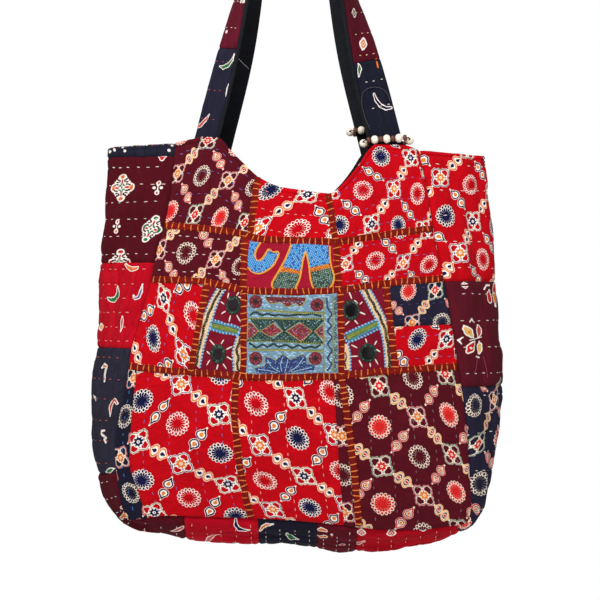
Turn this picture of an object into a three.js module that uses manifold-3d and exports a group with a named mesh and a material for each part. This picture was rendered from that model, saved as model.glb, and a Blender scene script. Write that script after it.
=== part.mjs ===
// Patchwork tote bag, hanging by its two shoulder straps.
// Millimetres, +Z up, +X to the wearer's right as the front is looked at, the front faces -Y.
// The origin is the hanging point: the middle of the underside of the two strap arches.
//
// The bag is sewn from cloth patches: a front panel of sixteen patches in four courses, a
// gusset strip of twelve patches that runs down one side, under the bottom and up the other,
// and a back panel of four patches. Brown seam tape covers the joins of the front patches.
// Each strap is a patchwork face of three pieces on a black lining, sewn behind the rim.
// A ring of beads on a thread with disc spacers goes round the foot of each right strap leg.
import * as THREE from "three";
import { mergeVertices } from "three/addons/utils/BufferGeometryUtils.js";
import Module from "manifold-3d";

const wasm = await Module();
wasm.setup();

// ---------------------------------------------------------------- driving sizes
const CLOTH = 2.0; // quilted patch: printed cotton, batting and backing
const SEAM_GAP = 0.4; // open seam between two patches
const TAPE_WIDTH = 7.0;
const TAPE_LIFT = 0.9; // tape's underside above the patches
const TAPE_THICK = 1.0;
const TAPE_STEP = 20; // length of one facet along the tape
const STRAP_WIDTH = 34;
const STRAP_BORDER = 4; // lining that shows along the inner edge of the face
const STRAP_LAYER = 1.5;
const STRAP_SPLIT = 0.3; // between face and lining
const STRAP_STEP = 17; // length of one facet along a strap
const STRAP_RISE = 259.7; // rim at the strap foot up to the strap's mid-line at the top
const STRAP_TUCK = 24; // strap foot sewn behind the rim
const CELL = 25; // size of one facet of the walls
const BEAD_RADIUS = 4.3;
const BEAD_HALF = 3.9; // half length along the thread
const BEAD_HOLE = 1.05;
const SPACER_RADIUS = 3.2;
const SPACER_HALF = 1.8;
const THREAD_RADIUS = 0.6;

// ---------------------------------------------------------------- tables
// The seam between the front panel and the gusset, from the left rim round to the right rim.
// depth: how far the seam stands from the mid plane. out: how far the gusset swells past the
// seam. turn: the direction of that swelling in the front view, in degrees.
const SEAM = [
  { side: "left", x: -124, z: -266, depth: 20, out: 71, turn: 180 },
  { side: "left", x: -126, z: -297, depth: 24, out: 69.5, turn: 180 },
  { side: "left", x: -131.5, z: -335, depth: 29, out: 64.5, turn: 180 },
  { side: "left", x: -141, z: -372, depth: 34, out: 60, turn: 180 },
  { side: "left", x: -148, z: -407, depth: 38, out: 55, turn: 180 },
  { side: "left", x: -157, z: -440, depth: 41, out: 45.5, turn: 180 },
  { side: "left", x: -166, z: -472, depth: 43, out: 39.5, turn: 180 },
  { side: "left", x: -171, z: -508, depth: 44, out: 38, turn: 180 },
  { side: "left", x: -179, z: -546, depth: 45, out: 31.5, turn: 181 },
  { side: "left", x: -182, z: -574, depth: 45, out: 25.5, turn: 184 },
  { side: "left", x: -179.5, z: -602, depth: 44, out: 22.5, turn: 192 },
  { side: "left", x: -176, z: -625, depth: 43, out: 17.5, turn: 207 },
  { side: "corner", x: -169.5, z: -642, depth: 42, out: 13, turn: 228 },
  { side: "bottom", x: -155, z: -641, depth: 42, out: 16.5, turn: 250 },
  { side: "bottom", x: -133, z: -638, depth: 42, out: 25, turn: 265 },
  { side: "bottom", x: -100, z: -639, depth: 42, out: 29.5, turn: 270 },
  { side: "bottom", x: -40, z: -641, depth: 42, out: 31.5, turn: 270 },
  { side: "bottom", x: 19, z: -645, depth: 42, out: 31.5, turn: 270 },
  { side: "bottom", x: 59, z: -649.5, depth: 42, out: 30.5, turn: 270 },
  { side: "bottom", x: 93, z: -652, depth: 42, out: 26, turn: 270 },
  { side: "bottom", x: 120, z: -652, depth: 42, out: 21, turn: 272 },
  { side: "bottom", x: 150, z: -648.5, depth: 42, out: 17.5, turn: 282 },
  { side: "corner", x: 170.5, z: -645.5, depth: 42, out: 13.5, turn: 314 },
  { side: "right", x: 174.5, z: -627, depth: 43, out: 19.5, turn: 338 },
  { side: "right", x: 173, z: -603, depth: 44, out: 25.5, turn: 352 },
  { side: "right", x: 170.5, z: -562, depth: 45, out: 34.5, turn: 359 },
  { side: "right", x: 166.5, z: -522, depth: 44, out: 43.5, turn: 360 },
  { side: "right", x: 160.5, z: -484, depth: 43, out: 50.5, turn: 360 },
  { side: "right", x: 155, z: -446, depth: 41, out: 53, turn: 360 },
  { side: "right", x: 149, z: -409, depth: 38, out: 55, turn: 360 },
  { side: "right", x: 142, z: -374, depth: 34, out: 59, turn: 360 },
  { side: "right", x: 137, z: -347, depth: 30, out: 62.5, turn: 360 },
  { side: "right", x: 132, z: -312, depth: 26, out: 64.5, turn: 360 },
  { side: "right", x: 123.5, z: -270, depth: 20, out: 70, turn: 360 },
];

// How far the panels swell past the seam's depth, by height above the bottom seam.
const BELLY = [
  { above: 0, swell: 0 },
  { above: 22, swell: 8 },
  { above: 60, swell: 16 },
  { above: 120, swell: 21 },
  { above: 200, swell: 22 },
  { above: 280, swell: 18 },
  { above: 340, swell: 13 },
  { above: 385, swell: 9 },
];

// The main dents and folds of the panels: centre, size and how far each stands out (or in).
const FOLDS = [
  { x: -62, z: -318, wide: 22, tall: 45, rise: 3.0 }, // pull from the left strap
  { x: 58, z: -330, wide: 24, tall: 48, rise: 3.0 }, // pull from the right strap
  { x: 0, z: -338, wide: 42, tall: 20, rise: -3.0 }, // slack under the scoop
  { x: -112, z: -560, wide: 30, tall: 60, rise: 2.5 },
  { x: 5, z: -575, wide: 26, tall: 70, rise: -2.5 },
  { x: 118, z: -570, wide: 32, tall: 60, rise: 2.5 },
  { x: -40, z: -600, wide: 90, tall: 14, rise: -2.0 }, // crease above the bottom seam
];

// The rim of the front panel, with its two strap tabs and the scoop between them.
const RIM = [
  { x: -124, z: -266 },
  { x: -104, z: -260.5 },
  { x: -96, z: -258 },
  { x: -80, z: -258 },
  { x: -66, z: -272 },
  { x: -53, z: -285 },
  { x: -39, z: -298 },
  { x: -18, z: -308 },
  { x: 3, z: -311.5 },
  { x: 33, z: -315 },
  { x: 48, z: -303 },
  { x: 62, z: -286 },
  { x: 73, z: -269.5 },
  { x: 79, z: -265 },
  { x: 108, z: -265 },
  { x: 123.5, z: -270 },
];
const BACK_TAB_SHIFT = 8; // the back panel's tabs stand this much closer together

// Joins that run across the front, left to right.
const JOINS = {
  upper: [
    { x: -140, z: -346 },
    { x: -100, z: -350 },
    { x: -60, z: -355 },
    { x: -34, z: -361.5 },
    { x: 0, z: -363 },
    { x: 39, z: -364 },
    { x: 70, z: -360 },
    { x: 100, z: -355 },
    { x: 140, z: -349.5 },
  ],
  middle: [
    { x: -152, z: -401 },
    { x: -98, z: -403 },
    { x: -70, z: -408.5 },
    { x: -40, z: -413.5 },
    { x: 0, z: -414 },
    { x: 40, z: -412 },
    { x: 93, z: -405 },
    { x: 152, z: -400 },
  ],
  split: [
    { x: 80, z: -449 },
    { x: 160, z: -446 },
  ],
  lower: [
    { x: -170, z: -488 },
    { x: -91, z: -494.5 },
    { x: -30, z: -498 },
    { x: 32, z: -497 },
    { x: 93, z: -492 },
    { x: 164, z: -488 },
  ],
};

// Joins that run up and down, each across one course.
const UPRIGHTS = {
  yoke_left: [
    { z: -358, x: -47 },
    { z: -298, x: -39 },
  ],
  yoke_right: [
    { z: -364, x: 38 },
    { z: -314, x: 31 },
  ],
  legs_left: [
    { z: -412, x: -53 },
    { z: -356, x: -52.5 },
  ],
  legs_right: [
    { z: -412, x: 41 },
    { z: -364, x: 39.5 },
  ],
  mirror_left: [
    { z: -495, x: -105.5 },
    { z: -404, x: -89 },
  ],
  diamond_left: [
    { z: -498, x: -53 },
    { z: -412, x: -52 },
  ],
  diamond_right: [
    { z: -497, x: 44 },
    { z: -412, x: 43 },
  ],
  mirror_right: [
    { z: -491, x: 97 },
    { z: -406, x: 88 },
  ],
  hem_left: [
    { z: -642, x: -149 },
    { z: -606, x: -161 },
    { z: -586, x: -167 },
    { z: -545, x: -165.5 },
    { z: -490, x: -160 },
  ],
  hem_middle: [
    { z: -640, x: -46 },
    { z: -594, x: -55 },
    { z: -529, x: -61.5 },
    { z: -497, x: -60 },
  ],
  hem_right: [
    { z: -648, x: 47 },
    { z: -590, x: 42 },
    { z: -497, x: 36 },
  ],
};
// The tape beside the last of these lies on the maroon patch, clear of the join.
const TAPE_RIGHT = [
  { z: -648, x: 62 },
  { z: -597, x: 57 },
  { z: -548, x: 51 },
  { z: -497, x: 44 },
];

const RED = 0xc4101c,
  MAROON = 0x5a1420,
  NAVY = 0x191c33,
  CRIMSON = 0x9c1730,
  SKY = 0x8fb2cc,
  BLACK = 0x141517,
  BROWN = 0x7a2417,
  BONE = 0xeadfc8,
  WOOD = 0x4a2416;

// Front patches: the joins above, below, left and right of each. "side" is the gusset seam.
const PATCHES = [
  { name: "yoke_left_maroon", top: "rim", bottom: "upper", left: "side", right: "yoke_left", colour: MAROON },
  { name: "yoke_centre_red", top: "rim", bottom: "upper", left: "yoke_left", right: "yoke_right", colour: RED },
  { name: "yoke_right_red", top: "rim", bottom: "upper", left: "yoke_right", right: "side", colour: RED },
  { name: "flank_left_maroon", top: "upper", bottom: "middle", left: "side", right: "legs_left", colour: MAROON },
  { name: "legs_embroidered", top: "upper", bottom: "middle", left: "legs_left", right: "legs_right", colour: CRIMSON },
  { name: "flank_right_red", top: "upper", bottom: "middle", left: "legs_right", right: "side", colour: RED },
  { name: "waist_left_red", top: "middle", bottom: "lower", left: "side", right: "mirror_left", colour: RED },
  { name: "mirror_left_embroidered", top: "middle", bottom: "lower", left: "mirror_left", right: "diamond_left", colour: CRIMSON },
  { name: "diamond_embroidered", top: "middle", bottom: "lower", left: "diamond_left", right: "diamond_right", colour: SKY },
  { name: "mirror_right_embroidered", top: "middle", bottom: "lower", left: "diamond_right", right: "mirror_right", colour: CRIMSON },
  { name: "waist_right_navy", top: "middle", bottom: "split", left: "mirror_right", right: "side", colour: NAVY },
  { name: "waist_right_red", top: "split", bottom: "lower", left: "mirror_right", right: "side", colour: RED },
  { name: "hem_left_navy", top: "lower", bottom: "foot", left: "side", right: "hem_left", colour: NAVY },
  { name: "hem_left_red", top: "lower", bottom: "foot", left: "hem_left", right: "hem_middle", colour: RED },
  { name: "hem_centre_red", top: "lower", bottom: "foot", left: "hem_middle", right: "hem_right", colour: RED },
  { name: "hem_right_maroon", top: "lower", bottom: "foot", left: "hem_right", right: "side", colour: MAROON },
];

// Back patches: four plain quarters.
const BACK_WAIST = -452;
const BACK_MIDDLE = 4;
const BACK_PATCHES = [
  { name: "back_upper_left", top: "rim", bottom: "waist", left: "side", right: "middle", colour: MAROON },
  { name: "back_upper_right", top: "rim", bottom: "waist", left: "middle", right: "side", colour: RED },
  { name: "back_lower_left", top: "waist", bottom: "foot", left: "side", right: "middle", colour: RED },
  { name: "back_lower_right", top: "waist", bottom: "foot", left: "middle", right: "side", colour: MAROON },
];

// Gusset patches, each from one station of the seam to the next: a height on a side, or a
// place across the bottom.
const GUSSET = [
  { name: "gusset_left_rim_navy", from: { left: -266 }, to: { left: -277 }, colour: NAVY },
  { name: "gusset_left_maroon", from: { left: -277 }, to: { left: -384 }, colour: MAROON },
  { name: "gusset_left_red", from: { left: -384 }, to: { left: -470 }, colour: RED },
  { name: "gusset_left_navy", from: { left: -470 }, to: { left: -595 }, colour: NAVY },
  { name: "gusset_corner_maroon", from: { left: -595 }, to: { bottom: -113 }, colour: MAROON },
  { name: "gusset_bottom_red", from: { bottom: -113 }, to: { bottom: -39 }, colour: RED },
  { name: "gusset_bottom_navy", from: { bottom: -39 }, to: { bottom: 20 }, colour: NAVY },
  { name: "gusset_bottom_maroon", from: { bottom: 20 }, to: { bottom: 60 }, colour: MAROON },
  { name: "gusset_bottom_right_red", from: { bottom: 60 }, to: { bottom: 160 }, colour: RED },
  { name: "gusset_corner_navy", from: { bottom: 160 }, to: { right: -509 }, colour: NAVY },
  { name: "gusset_right_maroon", from: { right: -509 }, to: { right: -403 }, colour: MAROON },
  { name: "gusset_right_red", from: { right: -403 }, to: { right: -270 }, colour: RED },
];
const GUSSET_ACROSS = 6;

// Straps: foot is the half distance between the legs at the rim, arch the bend radius at the
// top, face the way the patchwork looks at the foot (-1 front, 1 back), mid the strap's place
// front to back at foot and top, and seam the height where navy meets maroon on each leg.
const STRAPS = [
  { name: "front_strap", foot: 88.6, arch: 30, face: -1, midFoot: -17.5, midTop: -20, seamLeft: -170, seamRight: -180 },
  { name: "back_strap", foot: 80.6, arch: 20, face: 1, midFoot: 17.5, midTop: 20, seamLeft: -170, seamRight: -180 },
];

// Bead rings on the right leg of each strap: height above the rim, shift to the right, and how
// far the ring drops behind and at its left end.
const RINGS = [
  { strap: "front_strap", name: "front_bead", above: 0.4, shift: 2.2, dropBehind: 5, dropLeft: 3 },
  { strap: "back_strap", name: "back_bead", above: 13, shift: 1, dropBehind: 2, dropLeft: 1.5 },
];
const RING_SIDE = 20.9; // half length of the ring's straight sides, front and back
const RING_END = 4.0; // half length of its straight ends
const RING_CORNER = 2.4; // radius of its corners
const RING_BEADS = [0, 16.45, 28.65, 40.85]; // bead places on half a ring, from its right end
const RING_DISCS = [10.25, 22.55, 34.75, 47.05]; // spacer places between them

// ---------------------------------------------------------------- interpolation
// A smooth value from a table of rows, by one column.
function lookup(rows, key, column, at) {
  const last = rows.length - 1;
  if (at <= rows[0][key]) return rows[0][column];
  if (at >= rows[last][key]) return rows[last][column];
  let i = 0;
  while (rows[i + 1][key] < at) i++;
  const slope = (a, b) => (rows[b][column] - rows[a][column]) / (rows[b][key] - rows[a][key]);
  const here = slope(i, i + 1),
    before = i > 0 ? slope(i - 1, i) : here,
    after = i + 1 < last ? slope(i + 1, i + 2) : here;
  const tangent = (a, b) => (a * b <= 0 ? 0 : (2 * a * b) / (a + b)); // no overshoot
  const width = rows[i + 1][key] - rows[i][key],
    t = (at - rows[i][key]) / width,
    m0 = tangent(before, here) * width,
    m1 = tangent(here, after) * width,
    y0 = rows[i][column],
    y1 = rows[i + 1][column];
  return (
    y0 * (2 * t ** 3 - 3 * t ** 2 + 1) +
    m0 * (t ** 3 - 2 * t ** 2 + t) +
    y1 * (3 * t ** 2 - 2 * t ** 3) +
    m1 * (t ** 3 - t ** 2)
  );
}
// The same along straight lines from row to row, for joins that two pieces share.
function straightLookup(rows, key, column, at) {
  const last = rows.length - 1;
  let i = 0;
  while (i < last - 1 && rows[i + 1][key] < at) i++;
  const t = (at - rows[i][key]) / (rows[i + 1][key] - rows[i][key]);
  return rows[i][column] + (rows[i + 1][column] - rows[i][column]) * t;
}
const byHeight = (rows) => [...rows].sort((a, b) => a.z - b.z);
const LEFT = byHeight(SEAM.slice(0, 13)),
  FOOT = SEAM.slice(12, 23),
  RIGHT = byHeight(SEAM.slice(22));
const leftX = (z) => straightLookup(LEFT, "z", "x", z),
  rightX = (z) => straightLookup(RIGHT, "z", "x", z),
  footZ = (x) => straightLookup(FOOT, "x", "z", x);
const BACK_RIM = RIM.map((row) => {
  const inner = Math.abs(row.x) < 112 && Math.abs(row.x) > 20;
  return { x: row.x - (inner ? Math.sign(row.x) * BACK_TAB_SHIFT : 0), z: row.z };
});

// Depth of a panel's outer face from the mid plane, and the unit vector into the bag there.
function depthAt(x, z) {
  const base = lookup(LEFT, "z", "depth", z),
    l = leftX(z),
    r = rightX(z),
    across = Math.min(1, Math.abs((2 * (x - l)) / (r - l) - 1)),
    swell = lookup(BELLY, "above", "swell", z - footZ(x)) * (1 - across ** 2.4);
  let folds = 0;
  for (const f of FOLDS)
    folds += f.rise * Math.exp(-(((x - f.x) / f.wide) ** 2) - ((z - f.z) / f.tall) ** 2);
  return base + swell + folds * (1 - across ** 4);
}
function inwardAt(x, z) {
  const e = 0.5;
  return new THREE.Vector3(
    (depthAt(x + e, z) - depthAt(x - e, z)) / (2 * e),
    1,
    (depthAt(x, z + e) - depthAt(x, z - e)) / (2 * e),
  ).normalize();
}
// A point of the front panel, lift outside (or inside) its outer face.
function panelPoint(x, z, lift) {
  return new THREE.Vector3(x, -depthAt(x, z), z).addScaledVector(inwardAt(x, z), -lift);
}

// ---------------------------------------------------------------- solids
function geometryOf(points, faces) {
  const g = new THREE.BufferGeometry();
  g.setAttribute(
    "position",
    new THREE.Float32BufferAttribute(
      points.flatMap((p) => [p.x, p.y, p.z]),
      3,
    ),
  );
  g.setIndex(faces.flat());
  return g;
}
// A closed wall between two grids of points, outer and inner, whichever way they run.
function wall(outer, inner) {
  const nu = outer.length,
    nv = outer[0].length,
    points = [...outer.flat(), ...inner.flat()],
    id = (i, j, k) => k * nu * nv + i * nv + j,
    faces = [],
    quad = (a, b, c, d) => faces.push([a, b, c], [a, c, d]);
  for (let i = 0; i < nu - 1; i++)
    for (let j = 0; j < nv - 1; j++) {
      quad(id(i, j, 0), id(i + 1, j, 0), id(i + 1, j + 1, 0), id(i, j + 1, 0));
      quad(id(i, j, 1), id(i, j + 1, 1), id(i + 1, j + 1, 1), id(i + 1, j, 1));
    }
  for (let i = 0; i < nu - 1; i++) {
    quad(id(i, 0, 0), id(i, 0, 1), id(i + 1, 0, 1), id(i + 1, 0, 0));
    quad(id(i, nv - 1, 0), id(i + 1, nv - 1, 0), id(i + 1, nv - 1, 1), id(i, nv - 1, 1));
  }
  for (let j = 0; j < nv - 1; j++) {
    quad(id(0, j, 0), id(0, j + 1, 0), id(0, j + 1, 1), id(0, j, 1));
    quad(id(nu - 1, j, 0), id(nu - 1, j, 1), id(nu - 1, j + 1, 1), id(nu - 1, j + 1, 0));
  }
  let volume = 0;
  for (const [a, b, c] of faces)
    volume += points[a].dot(new THREE.Vector3().crossVectors(points[b], points[c]));
  return geometryOf(points, volume < 0 ? faces.map(([a, b, c]) => [a, c, b]) : faces);
}
function manifold(geometry) {
  const bare = new THREE.BufferGeometry();
  bare.setAttribute("position", geometry.getAttribute("position"));
  if (geometry.index) bare.setIndex(geometry.index);
  const merged = mergeVertices(bare, 1e-4);
  return new wasm.Manifold(
    new wasm.Mesh({
      numProp: 3,
      vertProperties: merged.attributes.position.array,
      triVerts: new Uint32Array(merged.index.array),
    }),
  );
}
function fromManifold(solid) {
  const m = solid.getMesh(),
    position = new Float32Array(m.numVert * 3);
  for (let i = 0; i < m.numVert; i++)
    position.set(m.vertProperties.subarray(i * m.numProp, i * m.numProp + 3), i * 3);
  return new THREE.BufferGeometry()
    .setAttribute("position", new THREE.BufferAttribute(position, 3))
    .setIndex(new THREE.BufferAttribute(m.triVerts, 1));
}

const bag = new THREE.Group();
bag.name = "patchwork_tote_bag";
function add(parent, name, geometry, colour, roughness = 0.9) {
  const mesh = new THREE.Mesh(
    geometry,
    new THREE.MeshStandardMaterial({ color: colour, roughness, metalness: 0 }),
  );
  mesh.name = name;
  parent.add(mesh);
  return mesh;
}

// ---------------------------------------------------------------- panels
// The stations of one edge of a patch: every row of its join, and no step longer than a cell.
function stations(from, to, marks) {
  const inside = marks.filter((m) => (m - from) * (m - to) < -1e-6).sort((a, b) => (a - b) * (to - from)),
    stops = [from, ...inside, to],
    shares = [0];
  for (let i = 1; i < stops.length; i++) {
    const parts = Math.max(1, Math.round(Math.abs(stops[i] - stops[i - 1]) / CELL));
    for (let k = 1; k <= parts; k++)
      shares.push((stops[i - 1] + ((stops[i] - stops[i - 1]) * k) / parts - from) / (to - from));
  }
  return shares;
}
const mix = (a, b, t) => a + (b - a) * t;
// One patch as a four-sided net between its joins, drawn in to leave half a seam gap all round.
// across(name) and upright(name, hand) give the rows of a join.
function patchNet(patch, across, upright) {
  const half = SEAM_GAP / 2,
    lowRows = across(patch.bottom),
    highRows = across(patch.top),
    leftRows = upright(patch.left, "left"),
    rightRows = upright(patch.right, "right"),
    left = (z) => straightLookup(leftRows, "z", "x", z) + half,
    right = (z) => straightLookup(rightRows, "z", "x", z) - half,
    low = (x) => straightLookup(lowRows, "x", "z", x) + half,
    high = (x) => straightLookup(highRows, "x", "z", x) - (patch.top === "rim" ? 0 : half);
  const meet = (line, curve) => {
    let z = curve(0);
    for (let i = 0; i < 30; i++) z = curve(line(z));
    return z;
  };
  const zBL = meet(left, low),
    zBR = meet(right, low),
    zTL = meet(left, high),
    zTR = meet(right, high),
    xBL = left(zBL),
    xBR = right(zBR),
    xTL = left(zTL),
    xTR = right(zTR);
  // Both edges' rows become columns (and rows) of the net; only stations closer than a
  // hundredth of the edge fall together.
  const both = (a, b) => {
    const all = [...a, ...b].sort((p, q) => p - q);
    return all.filter((p, i) => i === 0 || p - all[i - 1] > 1e-4);
  };
  const thin = (marks, spare) => {
    const keep = [...marks].sort((p, q) => p - q);
    for (const p of spare) if (keep.every((q) => Math.abs(p - q) > 0.08)) keep.push(p);
    return keep.sort((p, q) => p - q);
  };
  const rowsOf = (rows, key) => rows.map((row) => row[key]),
    exact = (from, to, marks) =>
      marks.filter((m) => (m - from) * (m - to) < -1e-6).map((m) => (m - from) / (to - from)),
    columns = thin(
      both([0, ...exact(xBL, xBR, rowsOf(lowRows, "x")), 1], exact(xTL, xTR, rowsOf(highRows, "x"))),
      stations(xBL, xBR, rowsOf(lowRows, "x")),
    ),
    rows = thin(
      both([0, ...exact(zBL, zTL, rowsOf(leftRows, "z")), 1], exact(zBR, zTR, rowsOf(rightRows, "z"))),
      stations(zBL, zTL, rowsOf(leftRows, "z")),
    );
  return columns.map((a) =>
    rows.map((b) => {
      const xb = mix(xBL, xBR, a),
        xt = mix(xTL, xTR, a),
        zl = mix(zBL, zTL, b),
        zr = mix(zBR, zTR, b),
        corner = (bl, br, tl, tr) => mix(mix(bl, br, a), mix(tl, tr, a), b);
      return {
        x: mix(xb, xt, b) + mix(left(zl), right(zr), a) - corner(xBL, xBR, xTL, xTR),
        z: mix(low(xb), high(xt), b) + mix(zl, zr, a) - corner(zBL, zBR, zTL, zTR),
      };
    }),
  );
}
const sideRows = (hand) => (hand === "left" ? LEFT : RIGHT),
  frontAcross = (name) => (name === "rim" ? RIM : name === "foot" ? FOOT : JOINS[name]),
  frontUpright = (name, hand) => (name === "side" ? sideRows(hand) : UPRIGHTS[name]),
  level = [
    { x: -220, z: BACK_WAIST },
    { x: 220, z: BACK_WAIST },
  ],
  plumb = [
    { z: -700, x: BACK_MIDDLE },
    { z: -250, x: BACK_MIDDLE },
  ],
  backAcross = (name) => (name === "rim" ? BACK_RIM : name === "foot" ? FOOT : level),
  backUpright = (name, hand) => (name === "side" ? sideRows(hand) : plumb);
const frontJoinZ = (name, x) => straightLookup(frontAcross(name), "x", "z", x);

const front = new THREE.Group();
front.name = "front_panel";
bag.add(front);
for (const patch of PATCHES) {
  const net = patchNet(patch, frontAcross, frontUpright),
    face = (lift) => net.map((line) => line.map((p) => panelPoint(p.x, p.z, lift)));
  add(front, patch.name, wall(face(0), face(-CLOTH)), patch.colour);
}
const back = new THREE.Group();
back.name = "back_panel";
bag.add(back);
for (const patch of BACK_PATCHES) {
  const net = patchNet(patch, backAcross, backUpright),
    face = (lift) =>
      net.map((line) =>
        line.map((p) => {
          const q = panelPoint(p.x, p.z, lift);
          return new THREE.Vector3(q.x, -q.y, q.z);
        }),
      );
  add(back, patch.name, wall(face(0), face(-CLOTH)), patch.colour);
}

// ---------------------------------------------------------------- gusset
// Stations along the seam, by arc length, with each row's columns carried along.
const TRACE = (() => {
  const rows = [];
  let run = 0;
  SEAM.forEach((row, i) => {
    if (i) run += Math.hypot(row.x - SEAM[i - 1].x, row.z - SEAM[i - 1].z);
    rows.push({ ...row, run });
  });
  return rows;
})();
function runOf(place) {
  const [side, at] = Object.entries(place)[0],
    column = side === "bottom" ? "x" : "z",
    range = side === "left" ? [0, 12] : side === "bottom" ? [12, 22] : [22, TRACE.length - 1];
  for (let i = range[0]; i < range[1]; i++) {
    const a = TRACE[i],
      b = TRACE[i + 1],
      t = (at - a[column]) / (b[column] - a[column]);
    if (t >= -1e-9 && t <= 1 + 1e-9) return a.run + (b.run - a.run) * t;
  }
  throw new Error("no such place on the seam");
}
function seamAt(run) {
  const smooth = (column) => lookup(TRACE, "run", column, run),
    x = straightLookup(TRACE, "run", "x", run),
    z = straightLookup(TRACE, "run", "z", run);
  return { x, z, depth: depthAt(x, z), out: smooth("out"), turn: (smooth("turn") * Math.PI) / 180 };
}
// A point of the gusset: across runs from the front seam (0) to the back seam (1).
function gussetPoint(run, across) {
  const s = seamAt(run),
    sharp = Math.min(1, Math.max(0, (s.out - 30) / 40)), // a sharp fold at the rim, round below
    round = Math.sin(Math.PI * across) ** 0.85,
    fold = 1 - Math.abs(2 * across - 1) ** 1.25,
    swell = SEAM_GAP + s.out * (round + (fold - round) * sharp);
  return new THREE.Vector3(
    s.x + Math.cos(s.turn) * swell,
    s.depth * (2 * across - 1),
    s.z + Math.sin(s.turn) * swell,
  );
}
function gussetInward(run, across) {
  const s = seamAt(run),
    e = 0.004,
    d = 0.4;
  if (across < 1e-6 || across > 1 - 1e-6) {
    const v = inwardAt(s.x, s.z); // mitred to the panel's edge
    return across < 0.5 ? v : new THREE.Vector3(v.x, -v.y, v.z);
  }
  const end = TRACE[TRACE.length - 1].run,
    a = gussetPoint(Math.min(end, run + d), across).sub(gussetPoint(Math.max(0, run - d), across)),
    b = gussetPoint(run, across + e).sub(gussetPoint(run, across - e)),
    n = a.cross(b).normalize(),
    out = new THREE.Vector3(Math.cos(s.turn), 0, Math.sin(s.turn));
  return n.dot(out) > 0 ? n.negate() : n;
}
const gusset = new THREE.Group();
gusset.name = "gusset";
bag.add(gusset);
for (const patch of GUSSET) {
  const half = SEAM_GAP / 2,
    end = TRACE[TRACE.length - 1].run,
    from = runOf(patch.from) + (runOf(patch.from) > 0 ? half : 0),
    to = runOf(patch.to) - (runOf(patch.to) < end - 1e-6 ? half : 0),
    runs = stations(
      from,
      to,
      TRACE.map((row) => row.run),
    ).map((t) => from + (to - from) * t),
    face = (thick) => {
      const net = [];
      for (const run of runs) {
        const line = [];
        for (let j = 0; j <= GUSSET_ACROSS; j++) {
          const across = j / GUSSET_ACROSS;
          line.push(gussetPoint(run, across).addScaledVector(gussetInward(run, across), thick));
        }
        net.push(line);
      }
      return net;
    };
  add(gusset, patch.name, wall(face(0), face(CLOTH)), patch.colour);
}

// ---------------------------------------------------------------- seam tape
// Each run of tape is a thin wall along a join. The runs are joined into one lattice.
function tapeRun(places) {
  const outer = [],
    inner = [];
  places.forEach((p, i) => {
    const a = places[Math.max(0, i - 1)],
      b = places[Math.min(places.length - 1, i + 1)],
      l = Math.hypot(b.x - a.x, b.z - a.z),
      nx = -(b.z - a.z) / l,
      nz = (b.x - a.x) / l,
      row = (lift) =>
        [-0.5, 0.5].map((w) => panelPoint(p.x + nx * w * TAPE_WIDTH, p.z + nz * w * TAPE_WIDTH, lift));
    outer.push(row(TAPE_LIFT + TAPE_THICK));
    inner.push(row(TAPE_LIFT));
  });
  return manifold(wall(outer, inner));
}
function acrossRun(name, from, to) {
  const steps = Math.round((to - from) / TAPE_STEP),
    places = [];
  for (let i = 0; i <= steps; i++) {
    const x = from + ((to - from) * i) / steps;
    places.push({ x, z: frontJoinZ(name, x) });
  }
  return tapeRun(places);
}
function uprightRun(rows, low, high) {
  const steps = Math.max(2, Math.round((high - low) / TAPE_STEP)),
    places = [];
  for (let i = 0; i <= steps; i++) {
    const z = low + ((high - low) * i) / steps;
    places.push({ x: straightLookup(rows, "z", "x", z), z });
  }
  return tapeRun(places);
}
const TAPES = [
  acrossRun("upper", leftX(-346) + 2.5, rightX(-350) - 2.5),
  acrossRun("middle", leftX(-401) + 2.5, rightX(-400) - 2.5),
  acrossRun("lower", leftX(-489) + 2.5, rightX(-488) - 2.5),
  uprightRun(UPRIGHTS.yoke_left, -358, -299.5),
  uprightRun(UPRIGHTS.yoke_right, -364, -317),
  uprightRun(UPRIGHTS.legs_left, -412, -356),
  uprightRun(UPRIGHTS.legs_right, -412, -364),
  uprightRun(UPRIGHTS.mirror_left, -494, -404.5),
  uprightRun(UPRIGHTS.diamond_left, -498, -412),
  uprightRun(UPRIGHTS.diamond_right, -497, -412),
  uprightRun(UPRIGHTS.mirror_right, -491.5, -405.5),
  uprightRun(UPRIGHTS.hem_middle, -637, -497),
  uprightRun(TAPE_RIGHT, -646, -496),
];
add(front, "seam_tape", fromManifold(TAPES.reduce((all, run) => all.add(run))), BROWN);

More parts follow.
